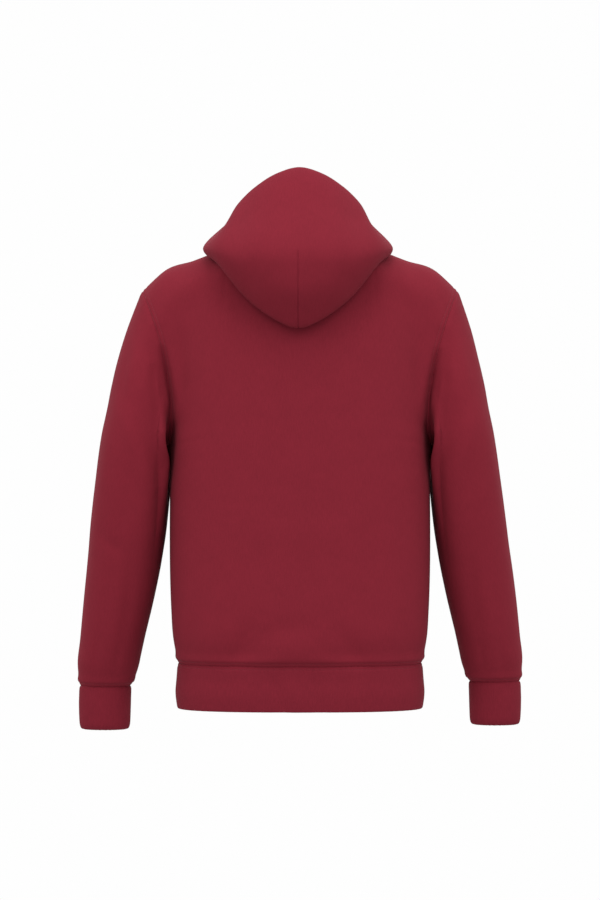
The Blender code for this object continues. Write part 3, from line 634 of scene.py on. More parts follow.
# %% [markdown]
# ## From coarse grids to fine ones
#
# Thirty millimetres between points is enough to hold the shape, but cloth shows creases of a few
# millimetres. A smooth curve through the coarse points gives as many in between as are wanted. Near
# a seam they are set closer together, so that the cloth can round over and a stitch can pull it in.

# %% Fine lines
EDGE_MM = (0.0, 0.35, 0.9, 1.6, 2.3, 3.2, 4.4, 5.6, 6.8, 7.6, 8.4, 10.0)  # the close lines near an edge
EDGE_CLEAR = 2.0  # from the last of them to the first even line, at least
EDGE_PULL = 8  # the higher, the faster the pull on an edge fades away from it
FINE = 8  # fine cells in each coarse one
SLEEVE_FINE = 9
HOOD_FINE = 7
CUFF_FINE = 10
TAPE_FINE = 6


def lines(cells, per, first=None, last=None):
    """Places along a grid, in cells, with closer ones near an end whose first cell is that many mm."""
    at = np.linspace(0, cells, cells * per + 1)
    near = np.array(EDGE_MM)
    past = near[-1] + EDGE_CLEAR
    if first:
        at = np.concatenate([near / first, at[at > past / first]])
    if last:
        at = np.concatenate([at[at < cells - past / last], cells - near[::-1] / last])
    return at


def curve(points, at, looped=False):
    """The smooth curve through the points, at these places."""
    places = np.arange(len(points))
    if looped:
        points = np.concatenate([points[-3:], points, points[:3]])
        places = np.arange(-3, len(places) + 3)
    return through(places, points, at)


def finer(grid, rows, columns, looped=False):
    """The grid's smooth surface at these rows and columns."""
    rails = curve(grid, rows).swapaxes(0, 1)
    return curve(rails, columns, looped).swapaxes(0, 1)


def matched(grid, top, right, left=None):
    """Pulls the grid's edges onto these lines, and the cloth beside them along."""
    u = np.linspace(0, 1, grid.shape[1])[None, :, None]
    v = np.linspace(0, 1, grid.shape[0])[:, None, None]
    change = (top - grid[-1])[None] * v**EDGE_PULL
    if left is not None:
        change += (left - grid[:, 0])[:, None] * (1 - u) ** EDGE_PULL
    change += (right - grid[:, -1])[:, None] * u**EDGE_PULL
    return grid + change


# %% The coarse pieces and the seams that two of them share
coarse_back = back_grid()
coarse_front = front_grid()
coarse_sleeves = {side: sleeve_grid(side) for side in (1, -1)}
PANEL_CELLS = LEVEL_ROWS + SIDE_ROWS + ARMHOLE_ROWS
UNDERARM_ROW = LEVEL_ROWS + SIDE_ROWS
armhole_ring = coarse_sleeves[1][0]
neck_points = neck_seam(np.linspace(0, 180, FRONT_NECK_COLUMNS + NECK_COLUMNS // 2 + 1))
neck_points[: FRONT_NECK_COLUMNS + 1] = coarse_front[-1, : FRONT_NECK_COLUMNS + 1]
neck_points = np.vstack([neck_points, mirrored(neck_points[-2::-1])])
shoulder_points = coarse_front[-1, FRONT_NECK_COLUMNS:]
side_points = coarse_back[: UNDERARM_ROW + 1, 0]
print("back", coarse_back.shape, "front", coarse_front.shape, "sleeve", coarse_sleeves[1].shape)

# %% The lines of the fine panels
BACK_CELLS = 2 * SHOULDER_COLUMNS + NECK_COLUMNS
FRONT_CELLS = FRONT_NECK_COLUMNS + SHOULDER_COLUMNS
MIDDLE = BACK_CELLS // 2  # the back's middle column, where the hood has a seam
beside_middle = MIDDLE + np.array((-0.1, -0.06, -0.03, 0.03, 0.06, 0.1))
panel_rows = lines(PANEL_CELLS, FINE, first=38.7, last=16.0)
back_columns = lines(BACK_CELLS, FINE, first=20.0, last=20.0)
back_columns = np.sort(np.concatenate([back_columns, beside_middle]))
front_columns = lines(FRONT_CELLS, FINE, first=20.0, last=20.0)
on_front_neck = front_columns <= FRONT_NECK_COLUMNS
on_back_neck = (back_columns >= SHOULDER_COLUMNS) & (back_columns <= SHOULDER_COLUMNS + NECK_COLUMNS)


def panel_side(turned):
    """A panel's left edge: the side seam up to the underarm, then the armhole, by the back or front."""
    seam = curve(side_points, np.minimum(panel_rows, UNDERARM_ROW))
    past = panel_rows > UNDERARM_ROW
    cells = PANEL_CELLS - panel_rows[past] if turned else panel_rows[past]
    seam[past] = curve(armhole_ring, cells, looped=True)
    return seam


def neck_and_shoulder(neck_cells, shoulder_cells):
    """Points along a panel's top edge: on the neck seam where neck_cells is a number."""
    on_neck = ~np.isnan(neck_cells)
    top = np.empty((len(neck_cells), 3))
    top[on_neck] = curve(neck_points, neck_cells[on_neck])
    top[~on_neck] = curve(shoulder_points, shoulder_cells[~on_neck])
    return top


# %% The fine panels
front_top = neck_and_shoulder(
    np.where(on_front_neck, front_columns, np.nan), front_columns - FRONT_NECK_COLUMNS
)
back_cells = back_columns - SHOULDER_COLUMNS + FRONT_NECK_COLUMNS  # counted along the whole neck seam
from_side = np.minimum(back_columns, BACK_CELLS - back_columns)
back_top = neck_and_shoulder(np.where(on_back_neck, back_cells, np.nan), SHOULDER_COLUMNS - from_side)
right_shoulder = (back_columns > SHOULDER_COLUMNS + NECK_COLUMNS)[:, None]
back_top = np.where(right_shoulder, mirrored(back_top), back_top)

back_side = panel_side(True)
back = matched(finer(coarse_back, panel_rows, back_columns), back_top, mirrored(back_side), back_side)
front = matched(finer(coarse_front, panel_rows, front_columns), front_top, panel_side(False))
print("fine back", back.shape, "fine front", front.shape)

# %% The fine sleeves, cuffs and waistband
sleeve_rows = lines(SLEEVE_ROWS, SLEEVE_FINE, first=28.0, last=34.0)
ring_columns = np.linspace(0, 2 * ARMHOLE_ROWS, 2 * ARMHOLE_ROWS * FINE + 1)[:-1]
cuff_rows = lines(len(CUFF_PARTS) - 1, CUFF_FINE, first=30.0, last=6.0)
sleeves, cuffs = {}, {}
for side in (1, -1):
    sleeves[side] = finer(coarse_sleeves[side], sleeve_rows, ring_columns, looped=True)
    cuffs[side] = finer(cuff_grid(side), cuff_rows, ring_columns, looped=True)


def hem_line(left_front, whole_back):
    """The body's lower edge, from the left front round the back to the right front."""
    return np.vstack([left_front[0], whole_back[0, 1:], mirrored(left_front)[0, ::-1][1:]])


band_rows = lines(BAND_ROWS, FINE, first=22.3, last=22.3)
band = curve(band_grid(hem_line(front, back)), band_rows)
print("sleeve", sleeves[1].shape, "cuff", cuffs[1].shape, "band", band.shape)

# %% The fine hood
left_cells = front_columns[on_front_neck]
right_cells = 2 * FRONT_NECK_COLUMNS + NECK_COLUMNS - left_cells[::-1]
neck_cells = np.concatenate([left_cells, back_cells[on_back_neck][1:-1], right_cells])
left_neck = front_top[on_front_neck]
fine_neck = np.vstack([left_neck, back_top[on_back_neck][1:-1], mirrored(left_neck)[::-1]])
fine_bearings = curve(hood_bearings(), neck_cells)
hood = hood_grid(fine_neck, fine_bearings, lines(HOOD_ROWS, HOOD_FINE, first=12.0, last=14.0))
print("hood", hood.shape)

# %% [markdown]
# ## Creases
#
# Cloth that hangs straight has few creases: they start where it is pushed together, such as above a
# tight waistband or cuff, and where the arm bends. Simulating the whole hoodie would give creases in
# other places each time, so the main ones are listed one by one. Each runs along a line in x and z, on
# the back (1) or on the front (-1) of one piece, and fades out at both ends.

# %% The creases, in mm
# For each piece: the face, the crease's width, its height (under 0 is a hollow) and its line.
CREASES = {
    "sleeve_left": (
        (1, 5.0, -1.1, ((253, -152), (257, -196), (263, -254))),
        (1, 9.0, 0.8, ((240, -146), (246, -200), (251, -262))),
        (1, 8.0, -1.6, ((219, -148), (214, -192), (208, -234))),
        (1, 15.0, -4.5, ((243, -228), (228, -280), (211, -336), (204, -376))),
        (1, 13.0, 2.2, ((262, -250), (246, -300), (228, -352), (218, -392))),
        (1, 10.0, -1.6, ((300, -430), (286, -452), (262, -468))),
        (1, 9.0, -1.6, ((251, -470), (254, -540), (262, -606))),
        (1, 10.0, 1.4, ((272, -520), (276, -570), (282, -622))),
        (1, 6.0, -1.3, ((300, -588), (302, -618), (303, -650))),
        (1, 6.0, -1.2, ((268, -600), (272, -628), (276, -652))),
        (1, 20.0, -12.0, ((216, -180), (208, -240), (200, -300), (196, -370), (200, -440), (208, -500))),
        (-1, 12.0, -2.6, ((252, -228), (234, -280), (218, -334))),
        (-1, 12.0, -2.8, ((306, -384), (284, -408), (252, -424), (224, -424))),
        (-1, 12.0, 2.2, ((300, -414), (276, -440), (246, -452))),
        (-1, 7.0, -1.4, ((286, -582), (290, -616), (293, -648))),
        (-1, 7.0, -1.2, ((262, -594), (268, -622), (274, -650))),
    ),
    "sleeve_right": (
        (1, 6.0, -1.0, ((-246, -150), (-253, -200), (-259, -250))),
        (1, 9.0, -1.5, ((-218, -146), (-212, -196), (-206, -240))),
        (1, 15.0, -4.0, ((-236, -234), (-222, -290), (-206, -352))),
        (1, 12.0, 1.8, ((-258, -262), (-242, -312), (-224, -372))),
        (1, 10.0, -1.4, ((-252, -462), (-256, -536), (-266, -604))),
        (1, 10.0, 1.3, ((-276, -506), (-280, -560), (-286, -618))),
        (1, 6.0, -1.3, ((-296, -592), (-299, -620), (-301, -648))),
        (1, 6.0, -1.2, ((-266, -596), (-271, -626), (-276, -648))),
        (1, 20.0, -10.0, ((-214, -190), (-206, -250), (-199, -310), (-196, -370), (-200, -450),
                          (-208, -510))),
        (-1, 12.0, -2.4, ((-248, -236), (-232, -288), (-216, -340))),
        (-1, 12.0, -2.6, ((-304, -392), (-280, -414), (-248, -428), (-222, -430))),
        (-1, 12.0, 2.0, ((-298, -424), (-272, -446), (-244, -460))),
        (-1, 7.0, -1.3, ((-282, -588), (-286, -618), (-290, -646))),
    ),
    "back": (
        (1, 9.0, -1.0, ((170, -128), (176, -210), (178, -290))),
        (1, 12.0, -1.2, ((150, -556), (160, -592), (168, -622))),
        (1, 12.0, -1.2, ((-146, -562), (-158, -596), (-166, -624))),
        (1, 17.0, 3.4, ((70, -652), (46, -628), (16, -612), (-8, -612), (-36, -628), (-54, -652))),
        (1, 16.0, -2.4, ((92, -620), (64, -594), (30, -577), (0, -573), (-34, -584))),
        (1, 15.0, -3.6, ((66, -560), (84, -592), (98, -640))),
        (1, 15.0, -3.0, ((-50, -566), (-70, -600), (-92, -642))),
        (1, 24.0, 1.0, ((110, -380), (60, -430), (0, -444), (-60, -430), (-110, -380))),
    ),
    "hood": (
        (1, 24.0, 2.5, ((84, -26), (44, -34), (0, -36), (-44, -34), (-84, -26))),
        (1, 26.0, 6.0, ((70, -64), (40, -78), (0, -84), (-40, -78), (-70, -64))),
    ),
    "hem_band": (
        (1, 9.0, -1.6, ((44, -640), (34, -668), (26, -706))),
        (1, 9.0, 1.4, ((14, -650), (6, -680), (2, -706))),
        (1, 9.0, -1.5, ((-22, -645), (-28, -680), (-32, -706))),
    ),
    "front_left": (
        (-1, 11.0, -1.3, ((60, -632), (44, -606), (26, -590))),
        (-1, 12.0, -1.2, ((152, -560), (160, -596), (166, -622))),
        (-1, 15.0, -1.6, ((186, -330), (150, -362), (112, -376))),
        (-1, 15.0, 1.3, ((182, -300), (146, -330), (104, -342))),
    ),
    "front_right": (
        (-1, 11.0, -1.3, ((-52, -634), (-38, -610), (-24, -596))),
        (-1, 12.0, -1.2, ((-148, -566), (-158, -598), (-166, -624))),
        (-1, 15.0, -1.5, ((-186, -336), (-152, -364), (-118, -380))),
        (-1, 15.0, 1.2, ((-182, -306), (-148, -334), (-108, -350))),
    ),
}

# %% The deep folds where each sleeve meets the body
# They run across the armhole seam, so each is a place in space that pushes both pieces in alike.
# For each: the face, the fold's width, its depth and its line.
FOLDS = (
    (1, 7.0, 20.0, ((205, -158), (200, -186), (195, -212), (190, -246), (189, -310), (189, -370))),
    (1, 18.0, 9.0, ((210, -128), (203, -178), (197, -220), (193, -290))),
    (1, 7.0, 19.0, ((-204, -162), (-199, -190), (-194, -216), (-189, -250), (-188, -310), (-188, -370))),
    (1, 18.0, 8.0, ((-210, -132), (-203, -182), (-197, -224), (-193, -290))),
    (-1, 8.0, 16.0, ((204, -180), (196, -216), (190, -252), (189, -310), (189, -370))),
    (-1, 8.0, 15.0, ((-204, -184), (-196, -220), (-190, -256), (-189, -310), (-189, -370))),
)


# %% Laying the creases
FOLD_IN = 30.0  # this far to the back or to the chest, the folds have their full depth
CREASE_IN = 2.0  # the higher, the further round to a piece's side its creases keep their full height


def run_along(line):
    """How far along a bent line each of its points is."""
    return np.concatenate([[0], np.cumsum(np.linalg.norm(np.diff(line, axis=0), axis=1))])


def bell(gap, width):
    """1 where the gap is 0, and fading out smoothly over about twice the width."""
    return np.exp(-((gap / width) ** 2))


def ends_faded(along, end, power):
    """1 in the middle of a line and near 0 at both ends. A lower power keeps it high for longer."""
    return np.sin(np.pi * np.clip(along, end, 1 - end)) ** power


def from_line(points, line):
    """The distance in x and z from each point to a bent line, and how far along the line it falls."""
    here = points[..., (0, 2)]
    line = np.array(line, float)
    steps = np.linalg.norm(np.diff(line, axis=0), axis=1)
    before = run_along(line)
    best = np.full(here.shape[:-1], np.inf)
    along = np.zeros(here.shape[:-1])
    for start, end, step, done in zip(line[:-1], line[1:], steps, before):
        part = np.clip((here - start) @ (end - start) / step**2, 0, 1)
        gap = np.linalg.norm(here - start - part[..., None] * (end - start), axis=-1)
        closer = gap < best
        best = np.where(closer, gap, best)
        along = np.where(closer, (done + part * step) / before[-1], along)
    return best, along


def folded(grid):
    """The grid with the deep folds pushed in towards the middle of the body."""
    y = grid[..., 1]
    moved = np.zeros(y.shape)
    for face, width, depth, line in FOLDS:
        gap, along = from_line(grid, line)
        outside = np.clip(y * face / FOLD_IN, 0, 1)
        moved -= face * depth * ends_faded(along, end=0.01, power=0.8) * outside * bell(gap, width)
    return grid + moved[..., None] * np.array((0.0, 1.0, 0.0))


def creased(name, grid, normals):
    """The height that the creases give each point of a piece."""
    height = np.zeros(grid.shape[:2])
    for face, width, tall, line in CREASES.get(name, ()):
        gap, along = from_line(grid, line)
        facing = np.clip(normals[..., 1] * face * CREASE_IN, 0, 1)
        height += tall * ends_faded(along, end=0.02, power=0.7) * facing * bell(gap, width)
    return height


# %% [markdown]
# ## Sewing the pieces
#
# A seam pulls both cloths in, so each piece rounds over at its edges and dips there. A line of
# stitches pulls a narrow groove. Both depend only on how far a point is from the edge, so that
# distance is measured first. Each piece is then a thin shell with a true inside, since the openings
# show it.

# %% Distance from an edge
SEAM_ROUND = 1.5  # how far in from a seam the cloth rounds over
SEAM_LAP = 0.5  # how far each cloth runs on under the other, so that no light comes through
# A seam's kinds, in mm: how deep it dips, over what reach, how far the cloth beside it puffs out, how
# far from the seam the puff is highest, and its reach.
PLAIN = (0.8, 3.5, 0.0, 10.0, 6.0)
GATHERED = (1.4, 3.5, 2.0, 9.0, 6.0)  # cloth gathered into a tighter band
BAND = (1.4, 2.2, 0.2, 9.0, 6.0)  # the band's own side of that seam
GROOVE_DEPTH = 0.7  # under a line of stitches
GROOVE_REACH = 1.3
# How far and from how near a doubled rib rolls in at its fold.
END_ROUND = {"hem_band": (0.5, 2.5), "cuff_left": (2.2, 5.0), "cuff_right": (2.2, 5.0)}
CENTRE_SEAM = (1.5, 0.9, 0.5, 6.0)  # the hood's: groove depth and reach, dip depth and reach
CENTRE_TOP = -28.0  # the height from which that seam shows, downwards
CENTRE_FADE = 6.0  # over this much height
CALM_REACH = 14.0  # within this far of a seam, creases are lower
CALM_LEAST = 0.25  # but never less than this part of their height
RIM_LEAST = 0.12  # the part of its thickness that a wall keeps at its rim
EDGES = {"bottom": (0, 0), "top": (0, -1), "left": (1, 0), "right": (1, -1)}  # axis and place in a grid
EDGE_STEP = 0.5  # between the places on an edge that distances are measured to


def edge_line(grid, edge, looped):
    """The points along one edge of a grid."""
    axis, place = EDGES[edge]
    line = grid[place] if axis == 0 else grid[:, place]
    return np.vstack([line, line[:1]]) if looped else line


def away(grid, line):
    """How far each point of a grid is from a line, in mm."""
    run = run_along(line)
    places = np.linspace(0, run[-1], int(run[-1] / EDGE_STEP) + 2)
    dense = np.column_stack([np.interp(places, run, line[:, axis]) for axis in range(3)])
    tree = KDTree(len(dense))
    for index, point in enumerate(dense):
        tree.insert(point, index)
    tree.balance()
    return np.array([tree.find(point)[2] for point in grid.reshape(-1, 3)]).reshape(grid.shape[:2])


def lapped(grid, edges):
    """The grid with these edges moved on a little past their seams."""
    grid = grid.copy()
    for edge in edges:
        axis, place = EDGES[edge]
        turned = grid if axis == 0 else grid.swapaxes(0, 1)
        out = turned[place] - turned[1 if place == 0 else -2]
        turned[place] += SEAM_LAP * out / np.linalg.norm(out, axis=-1, keepdims=True)
    return grid


# %% New objects
def add_object(name, data):
    """A new object with this data, in the scene."""
    made = bpy.data.objects.new(name, data)
    bpy.context.collection.objects.link(made)
    return made


def shade(mesh, smooth):
    """Shades every face smooth, or every face flat."""
    mesh.polygons.foreach_set("use_smooth", np.full(len(mesh.polygons), smooth))


# %% The shell of a piece
def shell(name, grid, looped, outward, wall, seams, folds=(), grooves=()):
    """A piece's closed mesh, with the layers and distances that stitching needs.

    A seam's dip moves the outer and the inner layer alike. One between gathered cloth and its band
    moves them level (tuck), and a plain one along the normals (shape).
    """
    rows, columns = grid.shape[:2]
    if wall == WALL and name != "hood":  # the hood lies clear of the folds beside the sleeves
        grid = folded(grid)
    measured = {*seams, *folds, *(groove[0] for groove in grooves)}
    gaps = {edge: away(grid, edge_line(grid, edge, looped)) for edge in measured}
    normals = grid_normals(grid, looped) * outward
    level = normals * (1, 1, 0)
    level /= np.linalg.norm(level, axis=-1, keepdims=True)
    lift = creased(name, grid, normals)
    grid = lapped(grid, seams)
    thick = np.ones((rows, columns))
    calm = np.ones((rows, columns))
    shape = np.zeros((rows, columns))
    tuck = np.zeros((rows, columns))
    for edge in (*seams, *folds):
        reach = SEAM_ROUND if edge in seams else wall / 2
        part = np.clip(gaps[edge] / reach, 0, 1)
        thick = np.minimum(thick, np.sqrt(1 - (1 - part) ** 2))
        if edge in seams:
            dip, near, puff, middle, wide = seams[edge]
            profile = puff * bell(gaps[edge] - middle, wide) - dip * bell(gaps[edge], near)
            if seams[edge] == PLAIN:
                shape += profile
            else:
                tuck += profile
            calm = np.minimum(calm, np.clip(gaps[edge] / CALM_REACH, CALM_LEAST, 1))
        elif name in END_ROUND and edge in ("top", "bottom"):
            deep, near = END_ROUND[name]
            shape -= deep * bell(gaps[edge], near)
    if name == "hood":
        centre = away(grid, grid[:, columns // 2])
        deep, near, dip, wide = CENTRE_SEAM
        low = np.clip((CENTRE_TOP - grid[..., 2]) / CENTRE_FADE, 0, 1)
        shape -= low * (deep * bell(centre, near) + dip * bell(centre, wide))
    lift = lift * calm + shape
    groove = np.zeros((rows, columns))
    for edge, distance, low, high in grooves:
        inside = np.zeros((rows, columns), bool)
        inside[low:high] = True
        groove += GROOVE_DEPTH * inside * bell(gaps[edge] - distance, GROOVE_REACH)
    half = wall / 2 * np.maximum(thick, RIM_LEAST)
    middle_layer = grid + level * tuck[..., None]
    outer = middle_layer + normals * (lift + half - groove)[..., None]
    inner = middle_layer + normals * (lift - half)[..., None]
    made = shell_object(name, grid, outer, inner, looped, outward)
    return {"object": made, "outer": outer, "gaps": gaps, "looped": looped}


# %% The mesh of a piece
def shell_object(name, grid, outer, inner, looped, outward):
    """Joins the two layers round their rims. The UV map is in metres along the cloth."""
    rows, columns = grid.shape[:2]
    last = columns if looped else columns - 1
    i, j = np.meshgrid(np.arange(rows - 1), np.arange(last), indexing="ij")
    square = ((0, 0), (0, 1), (1, 1), (1, 0))
    corners = np.stack([np.stack([i + down, j + right], -1) for down, right in square], axis=2)
    corners = corners.reshape(-1, 4, 2)
    layer = np.zeros((len(corners), 4), int)
    places, layers = [corners, corners[:, ::-1]], [layer, layer + 1]
    rims = [[(0, k) for k in range(last + 1)], [(rows - 1, k) for k in range(last, -1, -1)]]
    if not looped:
        rims += [[(k, columns - 1) for k in range(rows)], [(k, 0) for k in range(rows - 1, -1, -1)]]
    for rim in rims:
        rim = np.array(rim)
        places.append(np.stack([rim[1:], rim[:-1], rim[:-1], rim[1:]], axis=1))
        layers.append(np.tile((0, 0, 1, 1), (len(rim) - 1, 1)))
    places, layers = np.concatenate(places), np.concatenate(layers)
    if outward < 0:
        places, layers = places[:, ::-1], layers[:, ::-1]
    numbers = layers * rows * columns + places[..., 0] * columns + places[..., 1] % columns
    mesh = bpy.data.meshes.new(name)
    points = np.vstack([outer.reshape(-1, 3), inner.reshape(-1, 3)]) * MM
    mesh.from_pydata(points.tolist(), [], numbers.tolist())
    wide = np.concatenate([grid, grid[:, :1]], axis=1) if looped else grid
    across = np.cumsum(np.pad(np.linalg.norm(np.diff(wide, axis=1), axis=2), ((0, 0), (1, 0))), axis=1)
    across -= across[:, -1:] / 2
    down = np.cumsum(np.pad(np.linalg.norm(np.diff(wide, axis=0), axis=2), ((1, 0), (0, 0))), axis=0)
    chart = np.stack([across, down], axis=-1) * MM
    uv = mesh.uv_layers.new(name="cloth")
    uv.data.foreach_set("uv", chart[places[..., 0], places[..., 1]].astype(np.float32).ravel())
    shade(mesh, True)
    mesh.update()
    return add_object(name, mesh)


# %% Cutting and joining all the pieces
# Each groove is an edge, its distance from it in mm, and the first and last row that it runs over.
TWIN = (1.6, 7.6)  # a twin needle's two lines, beside the armhole seam
TOPSTITCH = 4.4  # above and below the other seams
HOOD_HEM = 20.0  # the hood's face hem
ZIP_STITCH = 5.6  # from a front's edge to the line that holds the zip
top_rows = int(np.searchsorted(panel_rows, UNDERARM_ROW))
arm_lines = {edge: [(edge, distance, top_rows, None) for distance in TWIN] for edge in ("left", "right")}
low_line = [("bottom", TOPSTITCH, 0, None)]
high_line = [("top", TOPSTITCH, 0, None)]
back_lines = low_line + arm_lines["left"] + arm_lines["right"]
front_lines = low_line + arm_lines["right"] + [("left", ZIP_STITCH, 0, None)]
BACK_SEAMS = {"bottom": GATHERED, "top": PLAIN, "left": PLAIN, "right": PLAIN}
FRONT_SEAMS = {"bottom": GATHERED, "top": PLAIN, "right": PLAIN}
SLEEVE_SEAMS = {"bottom": PLAIN, "top": GATHERED}
# For each piece: its grid, whether it closes round, its outward sign, its wall, its seams, its free
# edges and its lines of stitches.
SEW = {
    "back": (back, False, 1, WALL, BACK_SEAMS, (), back_lines),
    "front_left": (front, False, 1, WALL, FRONT_SEAMS, ("left",), front_lines),
    "front_right": (mirrored(front), False, -1, WALL, FRONT_SEAMS, ("left",), front_lines),
    "sleeve_left": (sleeves[1], True, -1, WALL, SLEEVE_SEAMS, (), high_line),
    "sleeve_right": (sleeves[-1], True, 1, WALL, SLEEVE_SEAMS, (), high_line),
    "cuff_left": (cuffs[1], True, -1, RIB_WALL, {"bottom": BAND}, ("top",), ()),
    "cuff_right": (cuffs[-1], True, 1, RIB_WALL, {"bottom": BAND}, ("top",), ()),
    "hem_band": (band, False, 1, RIB_WALL, {"top": BAND}, ("bottom", "left", "right"), high_line),
    "hood": (hood, False, 1, WALL, {"bottom": PLAIN}, ("top", "left", "right"),
             [("top", HOOD_HEM, 0, None)]),
}
sewn = {name: shell(name, *facts) for name, facts in SEW.items()}
for name, piece in sewn.items():
    print(name, len(piece["object"].data.polygons) * 2, "triangles")

# %% [markdown]
# ## Finishes
#
# Brushed-back fleece has a smooth, dull knit face: it scatters light evenly, with a faint sheen where
# it turns away from the eye. Dye never takes quite evenly, so its colour drifts by a few percent. The
# knit's own loops are about 1 mm wide, and they are drawn here as soft streaks along the cloth.

# %% Helpers for every shader and geometry node
def plug(tree, socket, value):
    """Gives a node's input a value, or links an output to it."""
    if isinstance(value, bpy.types.NodeSocket):
        tree.links.new(value, socket)
    else:
        socket.default_value = value


def add_node(tree, kind, settings=None, **links):
    """Adds a node. settings are attributes; each link is an input's name, and a value or an output."""
    node = tree.nodes.new(kind)
    for name, value in (settings or {}).items():
        setattr(node, name, value)
    for name, value in links.items():
        socket = next(s for s in node.inputs if s.name == name.replace("_", " ") and s.enabled)
        plug(tree, socket, value)
    return node


def worked_out(tree, operation, first, second):
    """The result of a Math node on two inputs, each a value or an output."""
    node = add_node(tree, "ShaderNodeMath", {"operation": operation})
    plug(tree, node.inputs[0], first)
    plug(tree, node.inputs[1], second)
    return node.outputs[0]


def linear(code):
    """A colour written as sRGB hex, as the linear numbers that a shader takes."""
    parts = [int(code[k:k + 2], 16) / 255 for k in (1, 3, 5)]
    return (*(p / 12.92 if p <= 0.04045 else ((p + 0.055) / 1.055) ** 2.4 for p in parts), 1.0)


def finish(name, **settings):
    """A Principled material with these settings, and its node tree and shader."""
    made = bpy.data.materials.new(name)
    made.use_nodes = True
    tree = made.node_tree
    shader = tree.nodes["Principled BSDF"]
    for key_name, value in settings.items():
        shader.inputs[key_name.replace("_", " ")].default_value = value
    return made, tree, shader


# %% The knits
FLEECE_COLOUR = "#771f2c"
RIB_COLOUR = "#741e2b"
SHEEN_COLOUR = "#d8a0a8"
MOTTLE_SIZE = 0.028  # metres across one patch of drifting colour
STREAK_SIZE = (0.0016, 0.011)  # width and length of one streak of loops, in metres
BUMP_HEIGHT = 0.0006  # of the loops, in metres
NOISE_LOW, NOISE_HIGH = 0.25, 0.75  # a noise texture mostly stays between these


def knit(name, colour, drift, streak, bump, sheen):
    """Knitted cloth: a base colour that drifts, soft streaks along the loops, and a faint sheen."""
    made, tree, shader = finish(name, Roughness=0.92, Specular_IOR_Level=0.1, Sheen_Weight=sheen,
                                Sheen_Roughness=0.5, Sheen_Tint=linear(SHEEN_COLOUR))
    place = add_node(tree, "ShaderNodeTexCoord")
    chart = add_node(tree, "ShaderNodeUVMap", {"uv_map": "cloth"})
    patches = add_node(tree, "ShaderNodeTexNoise", Vector=place.outputs["Object"], Scale=1 / MOTTLE_SIZE,
                       Detail=3.0, Roughness=0.6)
    stretch = add_node(tree, "ShaderNodeMapping", Vector=chart.outputs[0],
                       Scale=(1 / STREAK_SIZE[0], 1 / STREAK_SIZE[1], 1.0))
    loops = add_node(tree, "ShaderNodeTexNoise", Vector=stretch.outputs[0], Scale=1.0, Detail=2.0)
    parts = []
    for source, amount in ((patches, drift), (loops, streak)):
        part = add_node(tree, "ShaderNodeMapRange", Value=source.outputs[0], From_Min=NOISE_LOW,
                        From_Max=NOISE_HIGH, To_Min=-amount, To_Max=amount)
        parts.append(part.outputs[0])
    level = worked_out(tree, "ADD", worked_out(tree, "ADD", *parts), 1.0)
    tone = add_node(tree, "ShaderNodeHueSaturation", Value=level, Color=linear(colour))
    tree.links.new(tone.outputs[0], shader.inputs["Base Color"])
    rough = add_node(tree, "ShaderNodeBump", Strength=bump, Distance=BUMP_HEIGHT, Height=loops.outputs[0])
    tree.links.new(rough.outputs[0], shader.inputs["Normal"])
    return made


fleece = knit("brushed_fleece", FLEECE_COLOUR, drift=0.03, streak=0.05, bump=0.35, sheen=0.03)
rib = knit("rib_knit", RIB_COLOUR, drift=0.03, streak=0.07, bump=0.5, sheen=0.03)


# %% Thread, tape, teeth and metal
thread, *_ = finish("polyester_thread", Base_Color=linear("#6d1c28"), Roughness=0.6)
tape_finish, *_ = finish("woven_tape", Base_Color=linear("#4d1a22"), Roughness=0.8)
tooth_finish, *_ = finish("moulded_teeth", Base_Color=linear("#54202a"), Roughness=0.4)
nickel, *_ = finish("brushed_nickel", Base_Color=linear("#b9b8b6"), Roughness=0.32, Metallic=1.0)
for name, piece in sewn.items():
    piece["object"].data.materials.append(rib if name.startswith(("cuff", "hem")) else fleece)

# %% [markdown]
# ## Stitches
#
# A sewing machine lays the same stitch at an even pitch along a line. Geometry Nodes does the same:
# it puts points along the line, sets a small thread on each and keeps the thread along the line. A
# real stitch is about 0.4 mm thick, and it is drawn a little thicker here so that it still shows.

# %% Lines at a distance from an edge
PITCH = 3.0  # between two stitches
STITCH = 0.72 * PITCH  # the length of thread that shows
THREAD = 0.55  # its thickness
BALL_SEGMENTS, BALL_RINGS = 6, 4  # of the small stretched ball that stands for it


def contour(piece, edge, distance, low=0, high=None):
    """Points on the outer layer at this distance from an edge."""
    axis, place = EDGES[edge]
    gap, outer = piece["gaps"][edge], piece["outer"]
    if axis == 1:
        gap, outer = gap[low:high].swapaxes(0, 1), outer[low:high].swapaxes(0, 1)
    if place:
        gap, outer = gap[::-1], outer[::-1]
    first = np.argmax(gap >= distance, axis=0)
    column = np.arange(gap.shape[1])
    found = first > 0
    first, column = first[found], column[found]
    before, after = gap[first - 1, column], gap[first, column]
    part = ((distance - before) / (after - before))[:, None]
    return outer[first - 1, column] * (1 - part) + outer[first, column] * part


def line_object(name, rows):
    """One mesh of joined-up edges for every row of stitches."""
    points, edges = [], []
    for row, closed in rows:
        start = len(points)
        points.extend((row * MM).tolist())
        edges.extend((start + k, start + k + 1) for k in range(len(row) - 1))
        if closed:
            edges.append((start + len(row) - 1, start))
    mesh = bpy.data.meshes.new(name)
    mesh.from_pydata(points, edges, [])
    return add_object(name, mesh)


